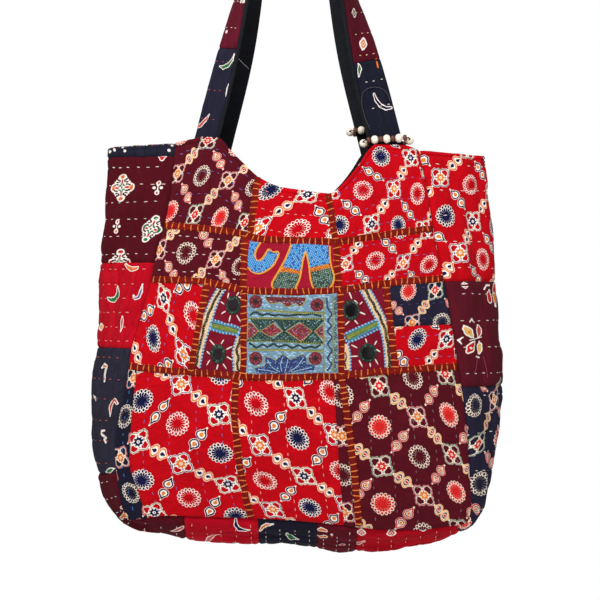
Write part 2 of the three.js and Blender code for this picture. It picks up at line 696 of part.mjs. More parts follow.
// ---------------------------------------------------------------- straps
// The strap's mid-line: a straight leg, the arch over the hanging point, and the other leg.
// It gives a place, the way along, the way the patchwork looks (a quarter turn from foot to
// arch) and the way to the strap's inner edge.
function strapLine(strap) {
  const top = STRAP_LAYER + STRAP_SPLIT / 2, // the underside of the arch is at z = 0
    rim = top - STRAP_RISE,
    centre = top - strap.arch,
    rise = centre - rim;
  let lean = 0;
  for (let i = 0; i < 60; i++)
    lean = Math.asin((strap.foot * Math.cos(lean) - strap.arch) / rise); // leg tangent to the arch
  const straight = Math.sqrt(strap.foot ** 2 + rise ** 2 - strap.arch ** 2),
    length = 2 * (STRAP_TUCK + straight) + strap.arch * (Math.PI - 2 * lean);
  return {
    length,
    runAt: (z) => STRAP_TUCK + (z - rim) / Math.cos(lean),
    at(run) {
      const falling = run > length / 2,
        r = falling ? length - run : run,
        hand = falling ? 1 : -1,
        along = r - STRAP_TUCK,
        angle = lean + Math.max(0, along - straight) / strap.arch,
        x = along < straight ? strap.foot - Math.sin(lean) * along : Math.cos(angle) * strap.arch,
        z = along < straight ? rim + Math.cos(lean) * along : centre + Math.sin(angle) * strap.arch,
        share = Math.min(1, Math.max(0, along / straight)),
        turn = share * share * (3 - 2 * share),
        way = new THREE.Vector3(Math.sin(angle), 0, (falling ? -1 : 1) * Math.cos(angle)),
        outward = new THREE.Vector3(hand * Math.cos(angle), 0, Math.sin(angle)),
        normal = new THREE.Vector3(0, strap.face * Math.cos((turn * Math.PI) / 2), 0).addScaledVector(
          outward,
          Math.sin((turn * Math.PI) / 2),
        );
      return {
        place: new THREE.Vector3(hand * x, mix(strap.midFoot, strap.midTop, turn), z),
        normal,
        inner: new THREE.Vector3().crossVectors(way, normal).multiplyScalar(-strap.face),
      };
    },
  };
}
// A flat band on the strap over some stations, from low to high along the strap's normal.
function strapBand(line, runs, edges, low, high) {
  const face = (h) =>
    runs.map((run) => {
      const s = line.at(run);
      return edges.map((w) => s.place.clone().addScaledVector(s.inner, w).addScaledVector(s.normal, h));
    });
  return wall(face(high), face(low));
}
const lines = {};
for (const strap of STRAPS) {
  const group = new THREE.Group();
  group.name = strap.name;
  bag.add(group);
  const line = strapLine(strap),
    half = STRAP_WIDTH / 2,
    low = STRAP_SPLIT / 2,
    high = low + STRAP_LAYER,
    gap = SEAM_GAP / 2,
    a = line.runAt(strap.seamLeft),
    b = line.length - line.runAt(strap.seamRight),
    stops = [0, a - gap, a + gap, b - gap, b + gap, line.length],
    runs = [0];
  for (let i = 1; i < stops.length; i++) {
    const parts = Math.max(1, Math.round((stops[i] - stops[i - 1]) / STRAP_STEP));
    for (let k = 1; k <= parts; k++) runs.push(mix(stops[i - 1], stops[i], k / parts));
  }
  const between = (from, to) => runs.filter((r) => r > from - 1e-6 && r < to + 1e-6),
    faceEdges = [0, 1, 2].map((k) => mix(-half, half - STRAP_BORDER, k / 2));
  lines[strap.name] = line;
  add(group, strap.name + "_lining_black", strapBand(line, runs, [...faceEdges, half], -high, -low), BLACK, 0.7);
  add(group, strap.name + "_left_navy", strapBand(line, between(stops[0], stops[1]), faceEdges, low, high), NAVY);
  add(group, strap.name + "_top_maroon", strapBand(line, between(stops[2], stops[3]), faceEdges, low, high), MAROON);
  add(group, strap.name + "_right_navy", strapBand(line, between(stops[4], stops[5]), faceEdges, low, high), NAVY);
}

// ---------------------------------------------------------------- bead rings
// A bead as a closed profile turned about the thread, with its hole; a spacer is a plain disc.
function beadGeometry() {
  const profile = [],
    steps = 6,
    reach = Math.acos(BEAD_HOLE / BEAD_RADIUS);
  for (let i = 0; i <= steps; i++) {
    const t = -reach + (2 * reach * i) / steps;
    profile.push(new THREE.Vector2(Math.cos(t) * BEAD_RADIUS, Math.sin(t) * BEAD_HALF));
  }
  profile.push(profile[0].clone());
  return new THREE.LatheGeometry(profile, 9);
}
function spacerGeometry() {
  const r = SPACER_RADIUS,
    h = SPACER_HALF,
    e = 0.6;
  const profile = [
    [0, -h],
    [r - e, -h],
    [r, 0],
    [r - e, h],
    [0, h],
  ].map(([x, y]) => new THREE.Vector2(x, y));
  return new THREE.LatheGeometry(profile, 8);
}
function ringLine(ring) {
  const strap = lines[ring.strap],
    foot = strap.at(strap.length - STRAP_TUCK - ring.above).place,
    corner = (Math.PI / 2) * RING_CORNER,
    half = 2 * (RING_END + corner + RING_SIDE),
    reach = { wide: RING_SIDE + RING_CORNER, deep: RING_END + RING_CORNER };
  // a quarter of the ring: from the middle of an end, round the corner, to the middle of a side
  const quarter = (r) => {
    if (r < RING_END) return [reach.wide, r];
    if (r > RING_END + corner) return [RING_SIDE - (r - RING_END - corner), reach.deep];
    const t = (r - RING_END) / RING_CORNER;
    return [RING_SIDE + Math.cos(t) * RING_CORNER, RING_END + Math.sin(t) * RING_CORNER];
  };
  // run 0 is the right end; the front side comes first, then the left end and the back side
  const place = (run) => {
    const r = ((run % (2 * half)) + 2 * half) % (2 * half),
      front = r < half,
      along = front ? r : 2 * half - r,
      right = along < half / 2,
      [w0, n0] = quarter(right ? along : half - along),
      w = right ? w0 : -w0,
      n = front ? n0 : -n0;
    return new THREE.Vector3(
      foot.x + ring.shift + w,
      foot.y - n,
      foot.z -
        ring.dropBehind * (0.5 - n / (2 * reach.deep)) -
        ring.dropLeft * (0.5 - w / (2 * reach.wide)),
    );
  };
  return {
    half,
    at: (run) => ({
      place: place(run),
      along: place(run + 0.01)
        .sub(place(run - 0.01))
        .normalize(),
    }),
  };
}
function setOn(line, run, geometry) {
  const s = line.at(run),
    m = new THREE.Matrix4().makeRotationFromQuaternion(
      new THREE.Quaternion().setFromUnitVectors(new THREE.Vector3(0, 1, 0), s.along),
    );
  return geometry.clone().applyMatrix4(m.setPosition(s.place));
}
function threadGeometry(line) {
  const corner = (Math.PI / 2) * RING_CORNER,
    ends = [RING_END, RING_END + corner / 2, RING_END + corner],
    quarters = [...ends, ...ends.map((r) => line.half - r).reverse()],
    runs = [...quarters, ...quarters.map((r) => r + line.half)],
    steps = runs.length,
    sides = 5,
    points = [],
    faces = [];
  for (let i = 0; i < steps; i++) {
    const s = line.at(runs[i]),
      up = new THREE.Vector3(0, 0, 1),
      side = new THREE.Vector3().crossVectors(s.along, up).normalize();
    for (let k = 0; k < sides; k++) {
      const t = (2 * Math.PI * k) / sides;
      points.push(
        s.place
          .clone()
          .addScaledVector(side, Math.cos(t) * THREAD_RADIUS)
          .addScaledVector(up, Math.sin(t) * THREAD_RADIUS),
      );
    }
  }
  for (let i = 0; i < steps; i++)
    for (let k = 0; k < sides; k++) {
      const i2 = (i + 1) % steps,
        k2 = (k + 1) % sides,
        id = (p, q) => p * sides + q;
      faces.push([id(i, k), id(i2, k), id(i2, k2)], [id(i, k), id(i2, k2), id(i, k2)]);
    }
  let volume = 0;
  for (const [a, b, c] of faces)
    volume += points[a].dot(new THREE.Vector3().crossVectors(points[b], points[c]));
  return geometryOf(points, volume < 0 ? faces.map(([a, b, c]) => [a, c, b]) : faces);
}
const bead = beadGeometry(),
  spacer = spacerGeometry();
for (const ring of RINGS) {
  const group = new THREE.Group();
  group.name = ring.name + "_ring";
  bag.add(group);
  const line = ringLine(ring),
    // front side, left end, then the same places on the back side and the right end
    beads = [...RING_BEADS, ...RING_BEADS.map((p) => p + line.half)],
    discs = [...RING_DISCS, ...RING_DISCS.map((p) => p + line.half)];
  beads.forEach((p, i) => add(group, ring.name + "_" + (i + 1), setOn(line, p, bead), BONE, 0.4));
  const thread = discs.reduce(
    (all, p) => all.add(manifold(setOn(line, p, spacer))),
    manifold(threadGeometry(line)),
  );
  add(group, ring.name + "_thread_spacers", fromManifold(thread), WOOD, 0.5);
}

export default bag;
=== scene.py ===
"""Patchwork tote bag: cloth patches, seam tape, stitches, embroidery, straps and beads.

Sizes are millimetres in the tables and metres in the scene. The front faces -Y.
"""
import math

import bpy
import numpy as np
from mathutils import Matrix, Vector
from mathutils.bvhtree import BVHTree


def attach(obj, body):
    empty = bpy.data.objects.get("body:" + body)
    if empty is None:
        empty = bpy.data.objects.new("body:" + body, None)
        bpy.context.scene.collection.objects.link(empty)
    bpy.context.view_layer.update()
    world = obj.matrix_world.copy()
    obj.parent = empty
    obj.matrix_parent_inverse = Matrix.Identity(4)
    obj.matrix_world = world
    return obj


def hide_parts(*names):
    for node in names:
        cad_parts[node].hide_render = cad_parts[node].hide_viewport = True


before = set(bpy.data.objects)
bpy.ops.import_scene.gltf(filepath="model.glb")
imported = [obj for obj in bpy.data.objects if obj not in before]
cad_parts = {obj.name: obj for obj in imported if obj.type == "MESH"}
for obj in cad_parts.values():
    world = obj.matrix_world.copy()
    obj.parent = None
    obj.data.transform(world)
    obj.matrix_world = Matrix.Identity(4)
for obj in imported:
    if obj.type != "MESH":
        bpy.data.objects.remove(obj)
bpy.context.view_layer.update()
MM = 0.001

# ------------------------------------------------------------------ camera
# A pixel of the 600 x 600 frame is a millimetre at 1.5 m, on the plane y = -40 mm.
REACH = 1500.0
CAM = np.array([3.0, -40.0 - REACH, -422.0])
cam = bpy.data.cameras.new("camera")
cam.sensor_fit = "HORIZONTAL"
cam.sensor_width = 36.0
cam.lens = 36.0 * REACH / 600.0
cam.clip_start, cam.clip_end = 0.05, 50.0
cam_ob = bpy.data.objects.new("camera", cam)
cam_ob.location = Vector(CAM * MM)
cam_ob.rotation_euler = (math.pi / 2, 0, 0)
bpy.context.scene.collection.objects.link(cam_ob)
bpy.context.scene.camera = cam_ob

# ------------------------------------------------------------------ tables of the bag's form
# x, z, depth, out, turn: see the seam of the CAD part
SEAM = np.array([
    (-124, -266, 20, 71, 180), (-126, -297, 24, 69.5, 180), (-131.5, -335, 29, 64.5, 180),
    (-141, -372, 34, 60, 180), (-148, -407, 38, 55, 180), (-157, -440, 41, 45.5, 180),
    (-166, -472, 43, 39.5, 180), (-171, -508, 44, 38, 180), (-179, -546, 45, 31.5, 181),
    (-182, -574, 45, 25.5, 184), (-179.5, -602, 44, 22.5, 192), (-176, -625, 43, 17.5, 207),
    (-169.5, -642, 42, 13, 228),
    (-155, -641, 42, 16.5, 250), (-133, -638, 42, 25, 265), (-100, -639, 42, 29.5, 270),
    (-40, -641, 42, 31.5, 270), (19, -645, 42, 31.5, 270), (59, -649.5, 42, 30.5, 270),
    (93, -652, 42, 26, 270), (120, -652, 42, 21, 272), (150, -648.5, 42, 17.5, 282),
    (170.5, -645.5, 42, 13.5, 314),
    (174.5, -627, 43, 19.5, 338), (173, -603, 44, 25.5, 352), (170.5, -562, 45, 34.5, 359),
    (166.5, -522, 44, 43.5, 360), (160.5, -484, 43, 50.5, 360), (155, -446, 41, 53, 360),
    (149, -409, 38, 55, 360), (142, -374, 34, 59, 360), (137, -347, 30, 62.5, 360),
    (132, -312, 26, 64.5, 360), (123.5, -270, 20, 70, 360)])
BELLY = [(0, 0), (22, 8), (60, 16), (120, 21), (200, 22), (280, 18), (340, 13), (385, 9)]
FOLDS = [  # x, z, wide, tall, rise
    (-62, -318, 22, 45, 3.0), (58, -330, 24, 48, 3.0), (0, -338, 42, 20, -3.0),
    (-112, -560, 30, 60, 2.5), (5, -575, 26, 70, -2.5), (118, -570, 32, 60, 2.5),
    (-40, -600, 90, 14, -2.0)]
RIM = [(-124, -266), (-104, -260.5), (-96, -258), (-80, -258), (-66, -272), (-53, -285),
       (-39, -298), (-18, -308), (3, -311.5), (33, -315), (48, -303), (62, -286), (73, -269.5),
       (79, -265), (108, -265), (123.5, -270)]
BACK_TAB_SHIFT = 5.0
JOINS = {
    "upper": [(-140, -346), (-100, -350), (-60, -355), (-34, -361.5), (0, -363), (39, -364),
              (70, -360), (100, -355), (140, -349.5)],
    "middle": [(-152, -401), (-98, -403), (-70, -408.5), (-40, -413.5), (0, -414), (40, -412),
               (93, -405), (152, -400)],
    "split": [(80, -449), (160, -446)],
    "lower": [(-170, -488), (-91, -494.5), (-30, -498), (32, -497), (93, -492), (164, -488)],
}
UPRIGHTS = {
    "yoke_left": [(-358, -47), (-298, -39)],
    "yoke_right": [(-364, 38), (-314, 31)],
    "legs_left": [(-412, -53), (-356, -52.5)],
    "legs_right": [(-412, 41), (-364, 39.5)],
    "mirror_left": [(-495, -105.5), (-404, -89)],
    "diamond_left": [(-498, -53), (-412, -52)],
    "diamond_right": [(-497, 44), (-412, 43)],
    "mirror_right": [(-491, 97), (-406, 88)],
    "hem_left": [(-642, -149), (-606, -161), (-586, -167), (-545, -165.5), (-490, -160)],
    "hem_middle": [(-640, -46), (-594, -55), (-529, -61.5), (-497, -60)],
    "hem_right": [(-648, 47), (-590, 42), (-497, 36)],
    "tape_right": [(-648, 62), (-597, 57), (-548, 51), (-497, 44)],
}


def curve(rows):
    """A smooth curve through rows of (key, value), without overshoot."""
    k = np.array([r[0] for r in rows], float)
    v = np.array([r[1] for r in rows], float)
    h = np.diff(k)
    d = np.diff(v) / h
    m = np.zeros(len(k))
    m[0], m[-1] = d[0], d[-1]
    for i in range(1, len(k) - 1):
        m[i] = 0 if d[i - 1] * d[i] <= 0 else 2 * d[i - 1] * d[i] / (d[i - 1] + d[i])

    def at(x):
        x = np.clip(np.asarray(x, float), k[0], k[-1])
        i = np.clip(np.searchsorted(k, x) - 1, 0, len(k) - 2)
        t = (x - k[i]) / h[i]
        return (v[i] * (2 * t**3 - 3 * t**2 + 1) + m[i] * h[i] * (t**3 - 2 * t**2 + t)
                + v[i + 1] * (3 * t**2 - 2 * t**3) + m[i + 1] * h[i] * (t**3 - t**2))

    return at


def by_key(a, key, col):
    rows = sorted([(r[key], r[col]) for r in a])
    return curve(rows)


LEFT, FOOT, RIGHT = SEAM[:13], SEAM[12:23], SEAM[22:]
left_x, right_x = by_key(LEFT, 1, 0), by_key(RIGHT, 1, 0)
base_depth = by_key(LEFT, 1, 2)
foot_z = by_key(FOOT, 0, 1)
belly = curve(BELLY)
rim_z = curve(RIM)
back_rim_z = curve([(x - (BACK_TAB_SHIFT if 20 < x < 112 else 0), z) for x, z in RIM])
joins = {n: curve(r) for n, r in JOINS.items()}
uprights = {n: curve(r) for n, r in UPRIGHTS.items()}


def depth(x, z):
    """How far the panel's outer face stands in front of the mid plane."""
    lo, hi = left_x(z), right_x(z)
    across = np.clip(np.abs(2 * (x - lo) / (hi - lo) - 1), 0, 1)
    out = base_depth(z) + belly(z - foot_z(x)) * (1 - across**2.4)
    for fx, fz, wide, tall, rise in FOLDS:
        out = out + rise * np.exp(-(((x - fx) / wide) ** 2) - ((z - fz) / tall) ** 2) * (1 - across**4)
    return out


# ------------------------------------------------------------------ smooth seeded noise
_table = np.random.RandomState(11).rand(256, 256) * 2 - 1


def noise(x, y, seed=0):
    x, y = np.asarray(x, float) + seed * 17.31, np.asarray(y, float) + seed * 9.73
    xi, yi = np.floor(x).astype(int), np.floor(y).astype(int)
    fx, fy = x - xi, y - yi
    fx, fy = fx * fx * (3 - 2 * fx), fy * fy * (3 - 2 * fy)
    g = lambda i, j: _table[(xi + i) % 256, (yi + j) % 256]
    return (g(0, 0) * (1 - fx) + g(1, 0) * fx) * (1 - fy) + (g(0, 1) * (1 - fx) + g(1, 1) * fx) * fy


# ------------------------------------------------------------------ node materials
def lin(r, g, b):
    """An 8-bit display colour as linear values."""
    f = lambda c: c / 12.92 if c <= 0.04045 else ((c + 0.055) / 1.055) ** 2.4
    return tuple(f(c / 255.0) for c in (r, g, b)) + (1.0,)


class V:
    """A number in a node tree, with arithmetic that adds the nodes."""

    def __init__(self, nt, s):
        self.nt, self.s = nt, s

    def op(self, name, *args):
        n = self.nt.nodes.new("ShaderNodeMath")
        n.operation = name
        for i, a in enumerate((self,) + args):
            if isinstance(a, V):
                self.nt.links.new(a.s, n.inputs[i])
            else:
                n.inputs[i].default_value = float(a)
        return V(self.nt, n.outputs[0])

    def __add__(self, o): return self.op("ADD", o)
    def __radd__(self, o): return self.op("ADD", o)
    def __sub__(self, o): return self.op("SUBTRACT", o)
    def __rsub__(self, o): return (self * -1.0) + o
    def __mul__(self, o): return self.op("MULTIPLY", o)
    def __rmul__(self, o): return self.op("MULTIPLY", o)
    def __truediv__(self, o): return self.op("DIVIDE", o)
    def __neg__(self): return self * -1.0
    def abs(self): return self.op("ABSOLUTE")
    def floor(self): return self.op("FLOOR")
    def sqrt(self): return self.op("SQRT")
    def sin(self): return self.op("SINE")
    def cos(self): return self.op("COSINE")
    def power(self, e): return self.op("POWER", e)
    def max(self, o): return self.op("MAXIMUM", o)
    def min(self, o): return self.op("MINIMUM", o)
    def atan2(self, o): return self.op("ARCTAN2", o)
    def lt(self, o): return self.op("LESS_THAN", o)
    def gt(self, o): return self.op("GREATER_THAN", o)
    def odd(self): return (self * 0.5 - (self * 0.5).floor()).gt(0.25)


def hyp(x, y):
    return (x * x + y * y).sqrt()


class Ink:
    """A colour built up in layers over a ground."""

    def __init__(self, nt, ground):
        self.nt, self.c = nt, ground

    def put(self, mask, colour):
        n = self.nt.nodes.new("ShaderNodeMix")
        n.data_type = "RGBA"
        self.nt.links.new(mask.s, n.inputs[0])
        for i, c in ((6, self.c), (7, colour)):
            if isinstance(c, tuple):
                n.inputs[i].default_value = c
            else:
                self.nt.links.new(c, n.inputs[i])
        self.c = n.outputs[2]
        return self

    def pick(self, mask, which, a, b):
        """Where mask, colour a, or b where which is 1."""
        self.put(mask, a)
        return self.put(mask * which, b)


def xy_mm(nt, wobble=0.5):
    """The cloth's own flat coordinates in millimetres, a little uneven as block prints are."""
    uv = nt.nodes.new("ShaderNodeUVMap")
    uv.uv_map = "cloth"
    sep = nt.nodes.new("ShaderNodeSeparateXYZ")
    nt.links.new(uv.outputs[0], sep.inputs[0])
    x, y = V(nt, sep.outputs[0]) * 100.0, V(nt, sep.outputs[1]) * 100.0
    if wobble:
        no = nt.nodes.new("ShaderNodeTexNoise")
        no.inputs["Scale"].default_value = 22.0
        no.inputs["Detail"].default_value = 1.0
        nt.links.new(uv.outputs[0], no.inputs["Vector"])
        sc = nt.nodes.new("ShaderNodeSeparateColor")
        nt.links.new(no.outputs["Color"], sc.inputs[0])
        x = x + (V(nt, sc.outputs[0]) - 0.5) * (2.4 * wobble)
        y = y + (V(nt, sc.outputs[1]) - 0.5) * (2.4 * wobble)
    return uv, x, y


PALE = lin(254, 241, 232)
ORANGE = lin(232, 132, 44)
NAVY_INK = lin(22, 24, 66)
STEP_A, STEP_C = (40.0, -28.0), (-40.0, -52.0)


def block_print(nt, x, y, ink, pale, warm, dark, line_even, line_odd, ground, fine=None):
    """Quatrefoils on a slanting trellis, teardrop pairs on its edges, looped rosettes in its meshes."""
    (ax, ay), (cx, cy) = STEP_A, STEP_C
    det = ax * cy - ay * cx
    s = (x * cy - y * cx) / det
    t = (y * ax - x * ay) / det
    si, ti = (s + 0.5).floor(), (t + 0.5).floor()
    sf, tf = s - si, t - ti
    sl, tl = s.floor(), t.floor()
    sh, th = s - sl - 0.5, t - tl - 0.5
    place = lambda p, q: (p * ax + q * cx, p * ay + q * cy)
    # rosettes: a ring of loops on rays round a plain or a dyed middle
    X, Y = place(sh, th)
    r = hyp(X, Y)
    k = 17.0
    turn = Y.atan2(X) * (k / (2 * math.pi))
    fr = turn - turn.floor() - 0.5
    side = (fr * r * (2 * math.pi / k)).abs()
    which = (sl + tl).odd()
    ink.put(r.lt(9.0) * which, dark)
    thin = 0.35 if fine else 0.33
    ink.put((side - (r - 4.0) * (0.035 if fine else 0.064)).lt(0.0) * r.lt(8.6), pale)
    loop = hyp(side, ((r - 9.9).abs() - 0.35).max(0.0)) - 1.38
    ink.put((loop.abs() - thin).lt(0.0), pale)
    ink.put(loop.lt(-thin) * which, dark)
    # spade pairs along one edge and teardrop pairs along the other, bulb to bulb with the tips outwards
    for p, q, ex, ey, outline, core, at, a, b, tip, flare in ((sh, tf, ax, ay, warm, dark, 4.1, 4.3, 6.9, 11.6, 0.86), (sf, th, cx, cy, dark, warm, 5.9, 5.5, 5.3, 15.6, 0.52)):
        X, Y = place(p, q)
        n = math.hypot(ex, ey)
        u = (X * (ex / n) + Y * (ey / n)).abs()
        v = (Y * (ex / n) - X * (ey / n)).abs()
        m = (a + b) / 2
        bulb = hyp((u - at) * (m / a), v * (m / b)) - m
        point = ((v - (tip - u) * flare) * 0.87).max(at - 0.3 - u).max(v - b * 0.92)
        d = bulb.min(point)
        e = (hyp(u - at, v * 0.9) - 1.75).min(((u - at - 3.8) * 0.5 + v * 0.87).max(at - u))
        if fine:
            rim, band = fine[0 if outline is warm else 1]
            ink.put(d.lt(0.0), rim)
            ink.put(d.lt(-0.5), band)
            ink.put(d.lt(-1.6), pale)
            ink.put(d.lt(-2.35), ground)
            ink.put(e.lt(0.25), pale)
            ink.put(e.lt(-0.45), core)
        else:
            ink.put(d.lt(0.0), pale)
            ink.put(d.lt(-0.45), outline)
            ink.put(d.lt(-1.85), pale)
            ink.put(e.lt(0.0), core)
        ink.put(hyp(u - tip + 0.6, v).lt(1.0), pale)
    # quatrefoils with a starred middle
    X, Y = place(sf, tf)
    n = math.hypot(ax, ay)
    P, Q = X * (ax / n) + Y * (ay / n), Y * (ax / n) - X * (ay / n)
    P, Q = (P + Q) * 0.76, (Q - P) * 0.76
    p, q = P.abs(), Q.abs()
    wave = (Q.atan2(P) * 16.0).cos() * 0.36
    box = hyp(((p - 5.5).abs() - 1.3).max(0.0), ((q - 5.5).abs() - 1.3).max(0.0)) - 3.5
    lobe = box.min(p.max(q) - 9.2) + wave
    which = (si + ti).odd()
    r = hyp(P, Q)
    if fine:
        ink.pick(lobe.lt(1.15), which, line_even, line_odd)
        ink.put(lobe.lt(0.25), ground)
        ink.put(lobe.lt(-0.25), pale)
        ink.put((box + wave).lt(-0.95) * r.gt(5.9) * (p.min(q)).gt(1.8), ground)
    else:
        ink.put(lobe.lt(1.15), pale)
        ink.pick(lobe.lt(0.65), which, line_even, line_odd)
        ink.put(lobe.lt(-0.3), pale)
        ink.put((box + wave).lt(-1.15) * r.gt(6.2) * (p.min(q)).gt(2.2), ground)
    ink.pick((p.min(q) - 0.9).lt(0.0) * r.gt(6.0) * r.lt(7.4), which, line_even, line_odd)
    star = (Q.atan2(P) * 8.0).cos() * 0.9 + 4.7
    ink.pick(r.lt(star), which, warm, dark)
    ink.put(r.lt(1.75), pale)
    ink.pick(r.lt(0.7), which, warm, dark)


class Spot:
    """Local coordinates about one printed motif."""

    def __init__(self, x, y, u, v, turn, size):
        c, s = math.cos(math.radians(turn)), math.sin(math.radians(turn))
        wide, tall = size if isinstance(size, tuple) else (size, size)
        dx, dy = x - float(u), y - float(v)
        self.x = (dx * c + dy * s) * (1.0 / wide)
        self.y = (dy * c - dx * s) * (1.0 / tall)


def motif(ink, x, y, kind, u, v, turn, size, inner, pale=PALE):
    """One motif of the sparse prints, in cloth millimetres, size 1 being about 18 mm long."""
    m = Spot(x, y, u, v, turn, size)
    X, Y = m.x, m.y
    if kind == "crescent":
        rho = 10.5
        r = hyp(X, Y + rho)
        along = X.atan2(Y + rho) * rho
        t = (along + 0.6) * (1 / 10.4)
        w = (1.0 - t * t).max(0.0).power(0.8) * (2.75 - t * 0.5) - 0.12
        d = (r - rho).abs() - w
        ink.put(d.lt(0.0), pale)
        ink.put(d.lt(-1.05), inner)
        ink.put(((along * 2.2).sin().gt(0.0)) * (r - rho).abs().lt(0.4) * d.lt(-1.0), pale)
    elif kind == "leaf":
        d = Y.abs() - (1.0 - (X * (1 / 8.5)).power(2.0)).max(0.0) * 2.6 + X * 0.05
        ink.put(d.lt(0.0) * X.abs().lt(8.5), pale)
        ink.put(d.lt(-1.0) * X.abs().lt(6.5), inner)
    elif kind == "hook":
        stem = (X + 0.5).abs() - (1.0 - ((Y + 2.0) * (1 / 8.0)).power(2.0)).max(0.0) * 1.7
        head = hyp(X - 1.2, Y - 5.2) - 3.3
        d = stem.max(Y.abs() - 8.8).min(head)
        ink.put(d.lt(0.0), pale)
        ink.put((hyp(X - 0.9, Y - 5.2) - 1.9).lt(0.0), inner)
    elif kind == "lozenge":
        d = (X.abs() * (1 / 5.0)).power(1.35) + (Y.abs() * (1 / 7.6)).power(1.35) - 1.0
        ink.put(d.lt(0.0), pale)
        ink.put(d.lt(-0.42), inner)
        ink.put(d.lt(-0.72) * d.gt(-0.86), pale)
    elif kind == "medallion":
        p, q = X.abs(), Y.abs()
        dim = lin(48, 12, 22)
        d = (p * (1 / 10.9)).power(1.3) + (q * (1 / 13.2)).power(1.3) - 1.0 + ((p - q) * 1.9).cos() * 0.06
        ink.put(d.lt(0.0), pale)
        ink.put((hyp(p, (q - 10.2) * 1.1) - 4.6).max(9.0 - q).lt(0.0), pale)
        ink.put((hyp((p - 8.4) * 1.2, q) - 4.4).max(7.2 - p).lt(0.0), pale)
        ink.put(hyp(p * (1 / 2.7), (q - 11.3) * (1 / 1.6)).lt(1.0), inner)
        ink.put(hyp((p - 9.3) * (1 / 1.4), q * (1 / 2.8)).lt(1.0), inner)
        for u0, v0, ru, rv, c in ((0, 6.7, 1.15, 2.1, CORAL), (5.6, 0, 2.1, 1.15, CORAL), (3.2, 7.1, 0.95, 1.4, dim), (5.2, 5.6, 1.5, 0.8, dim),
                                  (5.6, 3.3, 1.5, 0.8, dim), (7.6, 2.5, 1.0, 1.0, dim), (4.7, 8.3, 1.0, 1.0, dim), (0, 0, 1.0, 1.0, dim)):
            ink.put(hyp((p - u0) * (1 / ru), (q - v0) * (1 / rv)).lt(1.0), c)
        arc_ = (hyp(p - 3.0, q - 4.0) - 1.9).abs() - 0.75
        ink.put(arc_.max(p + q - 6.4).lt(0.0), lin(30, 110, 62))
    elif kind == "sprig":
        p, q = X.abs(), Y.abs()
        ink.put((hyp(p, (q - 4.4) * 0.85) - 2.1).min((p - 0.35 - q * 0.12).max(q - 4.4)).lt(0.0), pale)
        ink.put((hyp(p, (q - 4.7) * 0.8) - 1.0).lt(0.0), inner)
        ink.put((hyp(p - 2.9, q) - 1.35).lt(0.0), pale)
    elif kind == "flower":
        p, q = X.abs(), Y.abs()
        P, Q = p * 0.62 + q * 0.78, q * 0.62 - p * 0.78
        d = Q.abs() - (1.0 - ((P - 8.6) * (1 / 6.8)).power(2.0)).max(0.0) * 4.2
        ink.put(d.lt(0.0) * (P - 8.6).abs().lt(6.8), pale)
        ink.put(d.lt(-1.1) * (P - 8.6).abs().lt(5.2), inner)
        ink.put(d.lt(-2.6) * (P - 8.6).abs().lt(4.0), pale)
        ink.put((hyp(p, q) - 1.5).lt(0.0), pale)
    elif kind == "dots":
        p, q = X.abs(), Y.abs()
        ink.put((hyp(p - 3.2, q - 2.6) - 1.9).lt(0.0), pale)
        ink.put((hyp(X, Y) - 1.2).lt(0.0), pale)
    elif kind == "darts":
        d = (Y.abs() - 4.2 + X.abs() * 0.9).max(1.0 - Y.abs())
        ink.put(d.lt(0.0), pale)
        ink.put((d + 1.0).lt(0.0), inner)


def stroke(ink, x, y, pts, inner, colour=PALE, edge=0.85):
    """A printed stroke through points (u, v, half width), one colour round another."""
    d = None
    for (ax, ay, ra), (bx, by, rb) in zip(pts[:-1], pts[1:]):
        ex, ey = bx - ax, by - ay
        px, py = x - ax, y - ay
        t = ((px * ex + py * ey) * (1.0 / max(ex * ex + ey * ey, 1e-6))).max(0.0).min(1.0)
        e = hyp(px - t * ex, py - t * ey) - (t * (rb - ra) + ra)
        d = e if d is None else d.min(e)
    ink.put(d.lt(0.0), colour)
    if inner:
        ink.put(d.lt(-edge), inner)


def principled(name):
    m = bpy.data.materials.new(name)
    m.use_nodes = True
    nt = m.node_tree
    nt.nodes.clear()
    out = nt.nodes.new("ShaderNodeOutputMaterial")
    sh = nt.nodes.new("ShaderNodeBsdfPrincipled")
    nt.links.new(sh.outputs[0], out.inputs[0])
    return m, nt, sh


